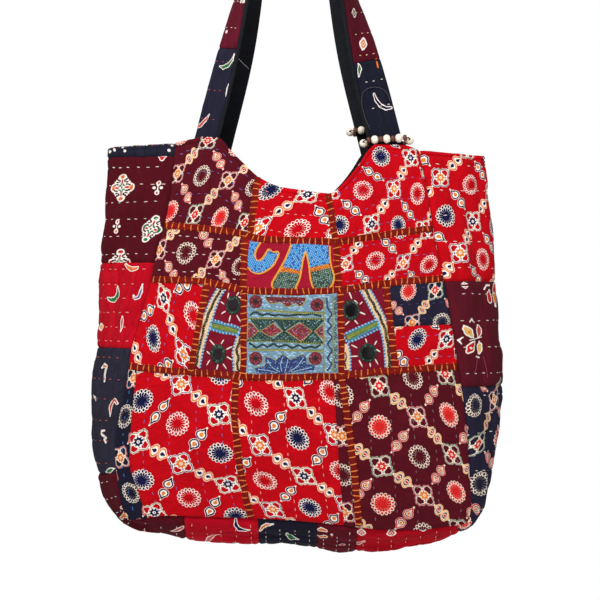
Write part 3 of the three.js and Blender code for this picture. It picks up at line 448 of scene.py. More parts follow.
def cloth_material(name, ground, printer=None, rough=0.9, sheen=0.02, weave=0.8, worn=0.08, bump=0.5, crease_and_shade=(30, 11, 0.7), shine=0.05):
    """Woven cotton: uneven ground colour, print, crossing-thread relief and fine creases, with painted shade along the
    creases and painted light and shade on the swells beside them.
    """
    m, nt, sh = principled(name)
    uv, x, y = xy_mm(nt)
    fade = nt.nodes.new("ShaderNodeTexNoise")
    fade.inputs["Scale"].default_value = 6.0
    fade.inputs["Detail"].default_value = 4.0
    nt.links.new(uv.outputs[0], fade.inputs["Vector"])
    ink = Ink(nt, ground)
    if printer:
        printer(nt, x, y, ink)
    # uneven dye, the colour of single threads, and the painted shade of the creases below
    hsv = nt.nodes.new("ShaderNodeHueSaturation")
    sx, sy = (x * (2 * math.pi / weave)).sin(), (y * (2 * math.pi / weave)).sin()
    threads = sx * sy
    # long creases where a stretched noise crosses its middle, beside softer swells
    pull = nt.nodes.new("ShaderNodeCombineXYZ")
    for i, v in ((0, x * (1.0 / crease_and_shade[0])), (1, y * (1.0 / crease_and_shade[1]))):
        nt.links.new(v.s, pull.inputs[i])
    fold = nt.nodes.new("ShaderNodeTexNoise")
    fold.inputs["Scale"].default_value = 1.0
    fold.inputs["Detail"].default_value = 2.0
    nt.links.new(pull.outputs[0], fold.inputs["Vector"])
    swell = V(nt, fold.outputs[0]) - 0.5
    line = ((swell * 28.0) * (swell * 28.0) * -1.0).op("EXPONENT")
    # painted shade: the colour darkens along each crease line and goes lighter and darker with the swells, as if lit
    val = (V(nt, fade.outputs[0]) - 0.5) * (2.2 * worn) + threads * 0.03 + 1.0 - line * (0.14 * crease_and_shade[2]) + swell * (0.5 * crease_and_shade[2])
    nt.links.new(val.s, hsv.inputs["Value"])
    if isinstance(ink.c, tuple):
        hsv.inputs["Color"].default_value = ink.c
    else:
        nt.links.new(ink.c, hsv.inputs["Color"])
    nt.links.new(hsv.outputs[0], sh.inputs["Base Color"])
    creases = nt.nodes.new("ShaderNodeTexNoise")
    creases.inputs["Scale"].default_value = 38.0
    creases.inputs["Detail"].default_value = 3.0
    nt.links.new(uv.outputs[0], creases.inputs["Vector"])
    height = threads * 0.25 + V(nt, creases.outputs[0]) * 1.6 - line * (1.3 * crease_and_shade[2]) + swell * (7.0 * crease_and_shade[2])
    bp = nt.nodes.new("ShaderNodeBump")
    bp.inputs["Strength"].default_value = bump
    bp.inputs["Distance"].default_value = 0.0006
    nt.links.new(height.s, bp.inputs["Height"])
    nt.links.new(bp.outputs[0], sh.inputs["Normal"])
    sh.inputs["Roughness"].default_value = rough
    sh.inputs["Sheen Weight"].default_value = sheen
    sh.inputs["Sheen Roughness"].default_value = 0.5
    sh.inputs["Specular IOR Level"].default_value = shine
    return m


def thread_material(name, colour, rough=0.6, vary=0.16, sheen=0.2):
    """Twisted embroidery thread: strand lines and a little change from stitch to stitch."""
    m, nt, sh = principled(name)
    tc = nt.nodes.new("ShaderNodeTexCoord")
    no = nt.nodes.new("ShaderNodeTexNoise")
    no.inputs["Scale"].default_value = 420.0
    no.inputs["Detail"].default_value = 2.0
    nt.links.new(tc.outputs["Object"], no.inputs["Vector"])
    hsv = nt.nodes.new("ShaderNodeHueSaturation")
    hsv.inputs["Color"].default_value = colour
    val = (V(nt, no.outputs[0]) - 0.5) * (2 * vary) + 1.0
    nt.links.new(val.s, hsv.inputs["Value"])
    nt.links.new(hsv.outputs[0], sh.inputs["Base Color"])
    fine = nt.nodes.new("ShaderNodeTexNoise")
    fine.inputs["Scale"].default_value = 2600.0
    nt.links.new(tc.outputs["Object"], fine.inputs["Vector"])
    bp = nt.nodes.new("ShaderNodeBump")
    bp.inputs["Strength"].default_value = 0.4
    bp.inputs["Distance"].default_value = 0.0003
    nt.links.new(fine.outputs[0], bp.inputs["Height"])
    nt.links.new(bp.outputs[0], sh.inputs["Normal"])
    sh.inputs["Roughness"].default_value = rough
    sh.inputs["Sheen Weight"].default_value = sheen
    sh.inputs["Specular IOR Level"].default_value = 0.3
    return m


RED, MAROON, NAVY = lin(193, 6, 21), lin(86, 17, 29), lin(37, 34, 54)
CRIMSON, SKY, BLACK = lin(160, 22, 46), lin(138, 172, 196), lin(30, 31, 36)
LEAF, CORAL, OLIVE = lin(44, 112, 66), lin(206, 36, 34), lin(132, 146, 110)


def with_block(ground, pale=PALE, warm=ORANGE, dark=NAVY_INK, even=lin(70, 56, 96), odd=lin(150, 146, 110), fine=None):
    return lambda nt, x, y, ink: block_print(nt, x, y, ink, pale, warm, dark, even, odd, ground, fine)


def scattered(spots, fold=None):
    """A sparse print from its motifs: kind, u, v, turn, size, inner colour. A fold repeats it behind."""
    def run(nt, x, y, ink):
        if fold:
            sign, length = fold
            x = (length / 2 - (x * sign - length / 2).abs()) * sign
        for kind, *rest in spots:
            if kind == "stroke":
                stroke(ink, x, y, *rest)
            else:
                motif(ink, x, y, kind, *rest)
    return run


pink, rose = lin(220, 132, 136), lin(206, 40, 36)
POPPY, SAGE_INK, CREAM_INK, SHADED_NAVY = lin(218, 36, 36), lin(170, 184, 160), lin(248, 230, 212), lin(29, 28, 46)
FINE = ((lin(250, 224, 190), lin(240, 172, 100)), (lin(240, 170, 160), lin(206, 58, 60)))  # rim and band: spades, then teardrops
MATS = {
    "block_red": cloth_material("block_red", RED, with_block(RED)),
    "block_maroon": cloth_material("block_maroon", MAROON, with_block(MAROON, CREAM_INK, dark=POPPY, even=pink, odd=SAGE_INK, fine=FINE)),
    "block_navy": cloth_material("block_navy", NAVY, with_block(NAVY, CREAM_INK, dark=POPPY, even=pink, odd=SAGE_INK, fine=FINE)),
    # painted shade: a darker copy of the navy print, for the lower-left front patch beside the seam to the gusset
    "block_dusk": cloth_material("block_dusk", SHADED_NAVY, with_block(SHADED_NAVY, CREAM_INK, dark=POPPY, even=pink, odd=SAGE_INK, fine=FINE)),
    "plain_crimson": cloth_material("plain_crimson", CRIMSON, rough=0.75),
    "plain_wine": cloth_material("plain_wine", lin(120, 18, 38), rough=0.75),
    "plain_sky": cloth_material("plain_sky", lin(122, 160, 186), rough=0.75),
    "inside": cloth_material("inside", lin(34, 32, 35), weave=0.9, worn=0.2),
    "lining": cloth_material("lining", BLACK, rough=0.8, worn=0.2, weave=0.7),
    "tape": cloth_material("tape", lin(122, 24, 19), weave=1.1, worn=0.25, bump=0.6),
}
GROUNDS = {"red": lin(198, 9, 30), "maroon": lin(82, 15, 26), "navy": lin(37, 37, 53)}
THREADS = {n: thread_material("thread_" + n, lin(*c)) for n, c in {
    "orange": (228, 124, 42), "white": (232, 222, 208), "violet": (98, 84, 160), "mauve": (120, 88, 92),
    "blush": (226, 150, 140), "rust": (196, 70, 44), "blue": (28, 110, 184), "azure": (112, 200, 240),
    "grey_green": (112, 132, 120), "olive": (112, 134, 46), "green": (26, 76, 56), "gold": (206, 166, 84),
    "cream": (226, 214, 176), "ink": (16, 15, 18), "navy": (34, 44, 92), "crimson": (168, 26, 44),
    "coral": (212, 84, 92), "sky": (164, 200, 220), "lime": (156, 160, 84), "lagoon": (44, 156, 220),
    "amber": (244, 166, 40), "pine": (14, 46, 36), "sage": (140, 170, 148), "green_light": (84, 140, 104), "straw": (232, 196, 150),
    "wine": (122, 20, 36), "deep": (14, 72, 138), "bracken": (40, 64, 52), "rosewood": (160, 44, 56), "royal": (30, 54, 150), "steel": (92, 124, 142), "garnet": (88, 16, 30), "mist": (112, 146, 168), "moss": (56, 88, 70), "teal": (62, 142, 160), "cobalt": (50, 88, 186), "khaki": (120, 124, 62)}.items()}

# ------------------------------------------------------------------ mesh helpers
ALL = []


def link(me, name, replaces=None):
    ob = bpy.data.objects.new(name, me)
    bpy.context.scene.collection.objects.link(ob)
    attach(ob, "root")
    if replaces:
        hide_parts(replaces)
    ALL.append(ob)
    return ob


def grid_quads(nu, nv, start=0):
    i, j = np.meshgrid(np.arange(nu - 1), np.arange(nv - 1), indexing="ij")
    a = (start + i * nv + j).ravel()
    return np.stack([a, a + nv, a + nv + 1, a + 1], 1)


def shell_mesh(name, top, bottom, uv, mat, within=None, turned=None):
    """A closed sheet between two grids of points in millimetres, with flat cut edges."""
    nu, nv = top.shape[:2]
    n = nu * nv
    pts = np.concatenate([top.reshape(-1, 3), bottom.reshape(-1, 3)])
    q1 = grid_quads(nu, nv)
    q2 = grid_quads(nu, nv, n)[:, ::-1]
    rim = np.concatenate([np.arange(nu) * nv, (nu - 1) * nv + np.arange(1, nv),
                          (np.arange(nu - 2, -1, -1)) * nv + nv - 1, np.arange(nv - 2, 0, -1)])
    nxt = np.roll(rim, -1)
    q3 = np.stack([rim, rim + n, nxt + n, nxt], 1)
    quads = np.concatenate([q1, q2, q3])
    tri = pts[quads]
    vol = np.einsum("ij,ij->i", tri[:, 0], np.cross(tri[:, 1], tri[:, 2])).sum()
    vol += np.einsum("ij,ij->i", tri[:, 0], np.cross(tri[:, 2], tri[:, 3])).sum()
    if vol < 0:
        quads = quads[:, ::-1]
    me = bpy.data.meshes.new(name)
    me.from_pydata((pts * MM).tolist(), [], quads.tolist())
    smooth = np.ones(len(quads), bool)
    smooth[len(q1) + len(q2):] = False
    me.polygons.foreach_set("use_smooth", smooth)
    layer = me.uv_layers.new(name="cloth")
    vi = np.empty(len(me.loops), np.int32)
    me.loops.foreach_get("vertex_index", vi)
    flat = np.concatenate([uv.reshape(-1, 2)] * 2) / 100.0
    layer.data.foreach_set("uv", flat[vi].astype(np.float32).ravel())
    me.materials.append(mat)
    if within:
        me.materials.append(within)
        which = np.zeros(len(quads), np.int32)
        which[len(q1):len(q1) + len(q2)] = 1 if turned is None else np.where(turned[:-1, :-1].ravel(), 0, 1)
        me.polygons.foreach_set("material_index", which)
    me.update()
    return me


def grid_normals(G):
    du = np.gradient(G, axis=0)
    dv = np.gradient(G, axis=1)
    n = np.cross(du, dv)
    return n / np.maximum(np.linalg.norm(n, axis=2, keepdims=True), 1e-9)


def stops(length, step=2.6, hems=(False, False)):
    """Shares along an edge of this length, closer near its ends and at a hem."""
    fine, hem = [0.0, 0.6, 1.4, 2.6, 4.4], [0.0, 0.6, 1.4, 2.6, 3.8, 4.5, 5.0, 5.5, 6.0, 6.7, 8.0]
    if length < 14:
        return np.linspace(0, 1, 12)
    lo, hi = (hem if h and length > 24 else fine for h in hems)
    n = max(2, int(round((length - lo[-1] - hi[-1]) / step)))
    mid = np.linspace(lo[-1], length - hi[-1], n + 1)[1:-1]
    return np.concatenate([lo, mid, [length - f for f in hi[::-1]]]) / length


class Cloth:
    """A patch's outer face as a grid, which can be read anywhere by its two shares."""

    def __init__(self, A, B, G, N):
        self.A, self.B, self.G, self.N = A, B, G, N

    def at(self, a, b):
        a, b = np.clip(a, 0, 1), np.clip(b, 0, 1)
        i = np.clip(np.searchsorted(self.A, a) - 1, 0, len(self.A) - 2)
        j = np.clip(np.searchsorted(self.B, b) - 1, 0, len(self.B) - 2)
        s = ((a - self.A[i]) / (self.A[i + 1] - self.A[i]))[:, None]
        t = ((b - self.B[j]) / (self.B[j + 1] - self.B[j]))[:, None]
        f = lambda g: (g[i, j] * (1 - s) + g[i + 1, j] * s) * (1 - t) + (g[i, j + 1] * (1 - s) + g[i + 1, j + 1] * s) * t
        n = f(self.N)
        return f(self.G), n / np.linalg.norm(n, axis=1, keepdims=True)


def stitch_mesh(name, P, Q, N, width, height, mat, sink=0.12):
    """Single stitches from P to Q (mm), each a small thread that rises out of the cloth and dips back."""
    P, Q, N = (np.asarray(v, float) for v in (P, Q, N))
    n = len(P)
    if n == 0:
        return None
    width = np.broadcast_to(np.asarray(width, float), (n,))[:, None]
    height = np.broadcast_to(np.asarray(height, float), (n,))[:, None]
    D = Q - P
    D = D / np.maximum(np.linalg.norm(D, axis=1, keepdims=True), 1e-9)
    S = np.cross(D, N)
    S = S / np.maximum(np.linalg.norm(S, axis=1, keepdims=True), 1e-9)
    verts = [P - N * sink]
    for t, w, h in ((0.16, 0.82, 0.72), (0.5, 1.0, 1.0), (0.84, 0.82, 0.72)):
        c = P + (Q - P) * t
        for su, up in ((-0.5, 0.35), (-0.28, 0.9), (0.28, 0.9), (0.5, 0.35), (0.0, -0.25)):
            verts.append(c + S * width * (su * w) + N * height * (up * h))
    verts.append(Q - N * sink)
    pts = np.stack(verts, 1)  # n, 17, 3
    k = 5
    faces = []
    for e in range(k):
        f = (e + 1) % k
        faces.append((0, 1 + f, 1 + e))
        for ring in (0, 1):
            o = 1 + ring * k
            faces.append((o + e, o + f, o + k + f, o + k + e))
        faces.append((16, 11 + e, 11 + f))
    out = []
    for b in range(0, n * 17, 17):
        out.extend([tuple(b + v for v in f) for f in faces])
    me = bpy.data.meshes.new(name)
    me.from_pydata((pts.reshape(-1, 3) * MM).tolist(), [], out)
    me.polygons.foreach_set("use_smooth", np.ones(len(out), bool))
    me.materials.append(mat)
    me.update()
    return link(me, name)


# ------------------------------------------------------------------ panels
# name, top, bottom, left, right, slot, material, where the trellis lies (pixel x, y, step a, step c),
# stitch rows: way (h across, v up), spacing, thread
FRONT = [
    ("yoke_left_maroon", "rim", "upper", "side", "yoke_left", "maroon", "block_maroon",
     [(194.4, 214.4, 1, 0), (228, 180, 2, 0), (177.5, 173.7, 1, -1), (207.7, 141.4, 2, -1), (244.6, 222.8, 2, 1),
      (201.4, 175.1, 1.5, -0.5), (220.3, 217.9, 1.5, 0.5), (240, 147, 2.5, -0.5), (247, 167, 2.5, 0)], "h", 19, "violet"),
    ("yoke_centre_red", "rim", "upper", "yoke_left", "yoke_right", "red", "block_red",
     [(257.5, 228.4, 0, 0), (307.5, 194.3, 1, 0), (297.5, 229, 0.5, 0.5), (270.8, 190, 0.5, -0.5), (322, 215.8, 1, 0.5),
      (283, 208, 0.5, 0)], "h", 18, "blush"),
    ("yoke_right_red", "rim", "upper", "yoke_right", "side", "red", "block_red",
     [(394.7, 188.2, 0, 0), (410.8, 157.6, 1, 0), (371.7, 224.2, -1, 0), (416.9, 193.6, 0.5, 0.5), (380.9, 156.1, 0.5, -0.5),
      (363.3, 189.7, -0.5, -0.5), (398.5, 224.2, -0.5, 0.5), (339.6, 225, -1.5, -0.5), (407.7, 211.2, 0, 0.5),
      (373.3, 174.4, 0, -0.5), (351, 208, -1, -0.5)], "h", 19, "violet"),
    ("flank_left_maroon", "upper", "middle", "side", "legs_left", "maroon", "block_maroon",
     [(215.4, 259.3, 0, 0), (185.2, 252.2, -0.5, -0.5), (159.3, 250.1, -1, -1), (240, 266.3, 0.5, 0.5), (206.3, 238.9, 0, -0.5),
      (223.8, 278.2, 0, 0.5), (232.9, 243.8, 0.5, 0), (199.3, 276.1, -0.5, 0), (172.6, 231.9, -0.5, -1)], "h", 18, "white"),
    ("legs_embroidered", "upper", "middle", "legs_left", "legs_right", "crimson", "plain_crimson", None, "h", 6, "crimson"),
    ("flank_right_red", "upper", "middle", "legs_right", "side", "red", "block_red",
     [(403.1, 263.2, 0, 0), (429.1, 264.8, 0.5, 0.5), (375.6, 260.2, -0.5, -0.5), (345.7, 264, -1, -1), (415.4, 245.6, 0.5, 0),
      (389.3, 245.6, 0, -0.5), (390, 276.2, -0.5, 0), (413, 277, 0, 0.5), (355.7, 247.1, -0.5, -1)], "h", 17, "violet"),
    ("waist_left_red", "middle", "lower", "side", "mirror_left", "red", "block_red",
     [(162.8, 297.9, 1, 0), (183.8, 354.7, 2, 0), (193.7, 316.1, 1.5, -0.5), (152.3, 337.8, 1.5, 0.5), (170.5, 323.8, 1.5, 0),
      (147.4, 313.3, 1, 0.5), (183, 286.6, 1, -0.5), (136.1, 352.6, 1.5, 1)], "v", 22, "violet"),
    ("mirror_left_embroidered", "middle", "lower", "mirror_left", "diamond_left", "crimson", "plain_wine", None, "v", 6, "crimson"),
    ("diamond_embroidered", "middle", "lower", "diamond_left", "diamond_right", "sky", "plain_sky", None, "h", 5, "sky"),
    ("mirror_right_embroidered", "middle", "lower", "diamond_right", "mirror_right", "crimson", "plain_wine", None, "v", 6, "crimson"),
    ("waist_right_navy", "middle", "split", "mirror_right", "side", "navy", "block_navy",
     [(412.3, 322.2, 0, 0), (435.3, 290, 1, 0), (408.5, 290.8, 0.5, -0.5), (442.2, 322.2, 0.5, 0.5), (423.8, 307.6, 0.5, 0),
      (395.5, 308.4, 0, -0.5)], "h", 14, "navy"),
    ("waist_right_red", "split", "lower", "mirror_right", "side", "red", "block_red",
     [(417, 376, 0, 0), (446.7, 339, 1, 0), (417.7, 339, 0.5, -0.5), (432, 357.5, 0.5, 0), (400.8, 358.4, 0, -0.5)], "h", 18, "violet"),
    # this patch takes the darker copy of the navy print: painted shade by the left seam
    ("hem_left_navy", "lower", "foot", "side", "hem_left", "navy", "block_dusk",
     [(133.3, 377.9, 0, 0), (124.9, 415.8, 0.5, 0.5), (120, 457.9, 1, 1), (131.2, 492.9, 1.5, 1.5), (151.3, 405.9, 1, 0)], "v", 14, "blue"),
    ("hem_left_red", "lower", "foot", "hem_left", "hem_middle", "red", "block_red",
     [(181, 384.2, 0, 0), (218.9, 414.4, 1, 0), (138.2, 441.7, 0, 1), (181, 463.5, 1, 1), (228, 484.5, 2, 1), (154.4, 512.6, 1, 2),
      (176.8, 423.5, 0.5, 0.5), (141.7, 401, -0.5, 0.5), (220.3, 453.7, 1.5, 0.5), (141.7, 480.3, 0.5, 1.5), (188.7, 497.9, 1.5, 1.5)],
     "v", 27, "violet"),
    ("hem_centre_red", "lower", "foot", "hem_middle", "hem_right", "red", "block_red",
     [(296, 398.2, 1, 0), (335, 434.9, 2, 0), (260, 445.6, 1, 1), (304.4, 476.2, 2, 1), (273, 509.9, 2, 2), (297.5, 438, 1.5, 0.5),
      (264.6, 481.6, 1.5, 1.5), (309.7, 507.6, 2.5, 1.5), (329.6, 392, 1.5, -0.5), (256, 403.5, 0.5, 0.5)], "v", 34, "blush"),
    ("hem_right_maroon", "lower", "foot", "hem_right", "side", "maroon", "block_maroon",
     [(379.4, 385.9, 1, 0), (417.7, 416.5, 2, 0), (381.7, 466.3, 2, 1), (452.1, 454.8, 3, 0), (424.5, 495.4, 3, 1), (379.4, 427.2, 1.5, 0.5),
      (419.2, 456.3, 2.5, 0.5), (382.5, 503.8, 2.5, 1.5), (449, 415, 2.5, -0.5), (412.3, 377.5, 1.5, -0.5), (455.9, 491.5, 3.5, 0.5)],
     "v", 23, "mauve"),
]
BACK = [  # the last numbers: the trellis's own turn and place
    ("back_upper_left", "rim", "waist", "side", "middle", "maroon", "block_maroon", (-80, -360, 90), "h", 19, "violet"),
    ("back_upper_right", "rim", "waist", "middle", "side", "red", "block_red", (70, -340, 90), "h", 19, "violet"),
    ("back_lower_left", "waist", "foot", "side", "middle", "red", "block_red", (-70, -540, 0), "v", 27, "violet"),
    ("back_lower_right", "waist", "foot", "middle", "side", "maroon", "block_maroon", (80, -560, 0), "v", 27, "mauve"),
]
GAP = 0.0
THICK = 1.7
cloths = {}
dashes = {}


def edge_x(name, hand, back):
    if name == "side":
        return left_x if hand == "left" else right_x
    if back:
        return lambda z: np.full(np.shape(z), 4.0)
    return uprights[name]


def edge_z(name, back):
    if name == "rim":
        return back_rim_z if back else rim_z
    if name == "foot":
        return foot_z
    if back:
        return lambda x: np.full(np.shape(x), -452.0)
    return joins[name]


def patch_grid(top, bottom, left, right, back):
    """A four-sided net of (x, z) between a patch's joins."""
    h = GAP / 2
    L0, R0 = edge_x(left, "left", back), edge_x(right, "right", back)
    B0, T0 = edge_z(bottom, back), edge_z(top, back)
    L, R = (lambda z: L0(z) + h), (lambda z: R0(z) - h)
    B = lambda x: B0(x) + h
    T = lambda x: T0(x) - (0 if top == "rim" else h)

    def meet(line, c):
        z = c(0.0)
        for _ in range(30):
            z = c(line(z))
        return float(z)

    zBL, zBR, zTL, zTR = meet(L, B), meet(R, B), meet(L, T), meet(R, T)
    xBL, xBR, xTL, xTR = float(L(zBL)), float(R(zBR)), float(L(zTL)), float(R(zTR))
    A = stops(max(xBR - xBL, xTR - xTL))
    Bs = stops(max(zTL - zBL, zTR - zBR), hems=(False, top == "rim"))
    a, b = np.meshgrid(A, Bs, indexing="ij")
    mix = lambda p, q, t: p + (q - p) * t
    xb, xt, zl, zr = mix(xBL, xBR, a), mix(xTL, xTR, a), mix(zBL, zTL, b), mix(zBR, zTR, b)
    corner = lambda bl, br, tl, tr: mix(mix(bl, br, a), mix(tl, tr, a), b)
    x = mix(xb, xt, b) + mix(L(zl), R(zr), a) - corner(xBL, xBR, xTL, xTR)
    z = mix(B(xb), T(xt), b) + mix(zl, zr, a) - corner(zBL, zBR, zTL, zTR)
    wide = np.broadcast_to(np.linalg.norm(np.diff(np.stack([x, z], 2), axis=0), axis=2).sum(0)[None, :], x.shape)
    tall = np.broadcast_to(np.linalg.norm(np.diff(np.stack([x, z], 2), axis=1), axis=2).sum(1)[:, None], x.shape)
    return A, Bs, a, b, x, z, wide, tall


def quilt_relief(a, b, wide, tall, way, spacing, seed, x, z, rim=False, strength=1.0):
    """Dips at the seams, puckers along them, and the soft channels of the running stitch."""
    dl, dr, db, dt = a * wide, (1 - a) * wide, b * tall, (1 - b) * tall
    out = np.zeros_like(a)
    for d, along, k in ((dl, z, 1), (dr, z, 2), (db, x, 3), (dt, x, 4)):
        if rim and k == 4:
            out = out - 1.25 * np.exp(-((d - 5.2) / 0.75) ** 2) - 0.6 * np.exp(-((d / 0.9) ** 2))  # stitched hem under the rim
            continue
        out = out - 1.5 * np.exp(-((d / 1.6) ** 2))
        out = out + 0.42 * np.exp(-d / 6.0) * noise(along / 4.2, k * 3.7 + 0 * along, seed)
    span, along = (tall, x) if way == "h" else (wide, z)
    d = db if way == "h" else dl
    rows = np.maximum(1, np.round(span.mean() / spacing))
    ph = d / (span / rows)
    dist = np.abs(ph - np.floor(ph) - 0.5) * (span / rows)
    inside = np.clip(np.minimum(np.minimum(dl, dr), np.minimum(db, dt)) / 5.0, 0, 1)
    out = out + strength * inside * (-0.6 * np.exp(-((dist / 1.6) ** 2))
                                     + 0.5 * noise(along / 3.9, np.floor(ph) * 5.3, seed + 3) * np.exp(-((dist / 4.5) ** 2)))
    out = out + 1.3 * noise(x / 34, z / 46, seed * 0.1 + 5) * inside + strength * 0.8 * noise(x / 12, z / 14, 8 + seed) * inside
    return out


def running_stitch(cl, wide, tall, way, spacing, seed, dash=3.6, pitch=8.2, margin=4.0):
    """Rows of dashes over a patch, as two lists of points and normals."""
    rng = np.random.RandomState(100 + seed)
    span, length = (tall, wide) if way == "h" else (wide, tall)
    span, length = float(span.mean()), float(length.mean())
    rows = int(max(1, round(span / spacing)))
    P, Q = [], []
    for k in range(rows):
        c = (k + 0.5) / rows + rng.uniform(-0.6, 0.6) / span
        t = margin + rng.uniform(0, pitch)
        while t + dash < length - margin:
            n = dash * rng.uniform(0.8, 1.2)
            off = rng.uniform(-0.35, 0.35) / span
            P.append((t / length, c + off))
            Q.append(((t + n) / length, c + off + rng.uniform(-0.5, 0.5) / span))
            t += pitch * rng.uniform(0.88, 1.12)
    if not P:
        return None
    P, Q = np.array(P), np.array(Q)
    if way == "v":
        P, Q = P[:, ::-1], Q[:, ::-1]
    p, n1 = cl.at(P[:, 0], P[:, 1])
    q, n2 = cl.at(Q[:, 0], Q[:, 1])
    return p, q, n1


def trellis(s, t):
    return s * STEP_A[0] + t * STEP_C[0], s * STEP_A[1] + t * STEP_C[1]


def spline(src, dst, slack=0.03):
    """A smooth map of the plane that takes the points src close to dst, straight far from them."""
    src, dst = np.asarray(src, float) / 50.0, np.asarray(dst, float)
    n = len(src)
    kern = lambda p, q: (lambda r2: r2 * np.log(r2 + 1e-9))(((p[:, None] - q[None]) ** 2).sum(2))
    M = np.zeros((n + 3, n + 3))
    M[:n, :n] = kern(src, src) + slack * np.eye(n)
    M[:n, n:] = M[n:, :n].T
    M[:n, n], M[:n, n + 1:] = 1, src
    M[n, :n], M[n + 1:, :n] = 1, src.T
    w = np.linalg.solve(M, np.concatenate([dst, np.zeros((3, 2))]))

    def at(q):
        shape = q.shape
        q = q.reshape(-1, 2) / 50.0
        return (kern(q, src) @ w[:n] + w[n] + q @ w[n + 1:]).reshape(shape)

    return at


def to_pixel(G):
    """Where the camera sees points given in millimetres."""
    k = REACH / (G[..., 1] - CAM[1])
    return np.stack([300 + (G[..., 0] - CAM[0]) * k, 300 - (G[..., 2] - CAM[2]) * k], -1)


def declare(area, wide, long):
    """Works out the cloth's flat cut in metres, and keeps nothing of it."""
    wide, long, area = wide * MM, long * MM, area * MM * MM
    wide, long = max(wide, 0.0102), max(long, 0.0102)
    if area > wide * long:
        long = area / wide * 1.002
    area if abs(area / (wide * long) - 1) > 0.01 else None


def sheet_area(G):
    d1, d2 = G[1:, 1:] - G[:-1, :-1], G[:-1, 1:] - G[1:, :-1]
    return 0.5 * np.linalg.norm(np.cross(d1, d2), axis=2).sum()


def panel(rows, back):
    sgn = 1.0 if back else -1.0
    for k, (name, top, bottom, left, right, slot, mat, lay, way, spacing, thread) in enumerate(rows):
        seed = k + (40 if back else 0)
        A, B, a, b, x, z, wide, tall = patch_grid(top, bottom, left, right, back)
        G = np.stack([x, sgn * depth(x, z), z], 2)
        N = grid_normals(G)
        N = N * np.sign(np.sum(N * np.array([0, sgn, 0]), 2, keepdims=True))
        embroidered = "embroidered" in name
        rel = quilt_relief(a, b, wide, tall, way, spacing, seed, x, z, top == "rim", 0.35 if embroidered else 1.0)
        outer = G + N * rel[..., None]
        inner = outer - N * THICK
        N2 = grid_normals(outer)
        N2 = N2 * np.sign(np.sum(N2 * N, 2, keepdims=True))
        cloths[name] = Cloth(A, B, outer, N2)
        if back:
            ox, oz, turn = lay
            c, s = math.cos(math.radians(turn)), math.sin(math.radians(turn))
            u, v = -(x - ox), z - oz
            uv = np.stack([u * c - v * s, u * s + v * c], 2)
        elif lay:
            fit = spline([(p, q) for p, q, _, _ in lay], [trellis(s, t) for _, _, s, t in lay])
            uv = fit(to_pixel(G))
        else:
            uv = np.stack([x, z], 2)
        me = shell_mesh(name, outer, inner, uv, MATS[mat], MATS["inside"])
        ob = link(me, name + "_cloth", name)
        declare(sheet_area(outer), float(wide.max()), float(tall.max()))
        if not embroidered:
            st = running_stitch(cloths[name], wide, tall, way, spacing, seed)
            if st:
                dashes.setdefault((("back" if back else "front"), thread), []).append(st)


panel(FRONT, False)
panel(BACK, True)

# ------------------------------------------------------------------ gusset
run_at = np.concatenate([[0], np.cumsum(np.hypot(np.diff(SEAM[:, 0]), np.diff(SEAM[:, 1])))])
RUN_L, RUN_R, RUN_END = run_at[12], run_at[22], run_at[-1]
seam_out = curve(list(zip(run_at, SEAM[:, 3])))
seam_turn = curve(list(zip(run_at, SEAM[:, 4])))


def run_of(side, at):
    lo, hi, col = {"left": (0, 12, 1), "bottom": (12, 22, 0), "right": (22, len(SEAM) - 1, 1)}[side]
    for i in range(lo, hi):
        t = (at - SEAM[i, col]) / (SEAM[i + 1, col] - SEAM[i, col])
        if -1e-9 <= t <= 1 + 1e-9:
            return run_at[i] + (run_at[i + 1] - run_at[i]) * t


def gusset_point(run, g):
    x = np.interp(run, run_at, SEAM[:, 0])
    z = np.interp(run, run_at, SEAM[:, 1])
    x = np.where(run < RUN_L, left_x(z), np.where(run > RUN_R, right_x(z), x))
    z = np.where((run >= RUN_L) & (run <= RUN_R), foot_z(x), z)
    out, turn = seam_out(run), np.radians(seam_turn(run))
    sharp = np.clip((out - 30) / 40, 0, 1)
    rnd = np.sin(np.pi * np.clip(g, 0, 1)) ** 0.85
    fold = 1 - np.abs(2 * g - 1) ** 1.25
    swell = GAP + out * (rnd + (fold - rnd) * sharp)
    return np.stack([x + np.cos(turn) * swell, base_depth(z) * (2 * g - 1), z + np.sin(turn) * swell], -1)


def smooth_gusset(run, g):
    """The gusset eased round the corners away from its seams."""
    ease = np.minimum(1.0, np.minimum(run, RUN_END - run) / 40.0)
    total, weight = 0.0, 0.0
    for d in np.linspace(-30, 30, 13):
        w = math.exp(-((d / 15.0) ** 2))
        total = total + w * gusset_point(np.clip(run + d * ease, 0, RUN_END), g)
        weight += w
    k = (np.sin(np.pi * np.clip(g, 0, 1)) ** 0.6)[..., None]
    return gusset_point(run, g) * (1 - k) + total / weight * k


GREEN_INK, ORANGE_INK, PINK_INK = lin(44, 118, 70), lin(226, 116, 36), lin(206, 96, 96)
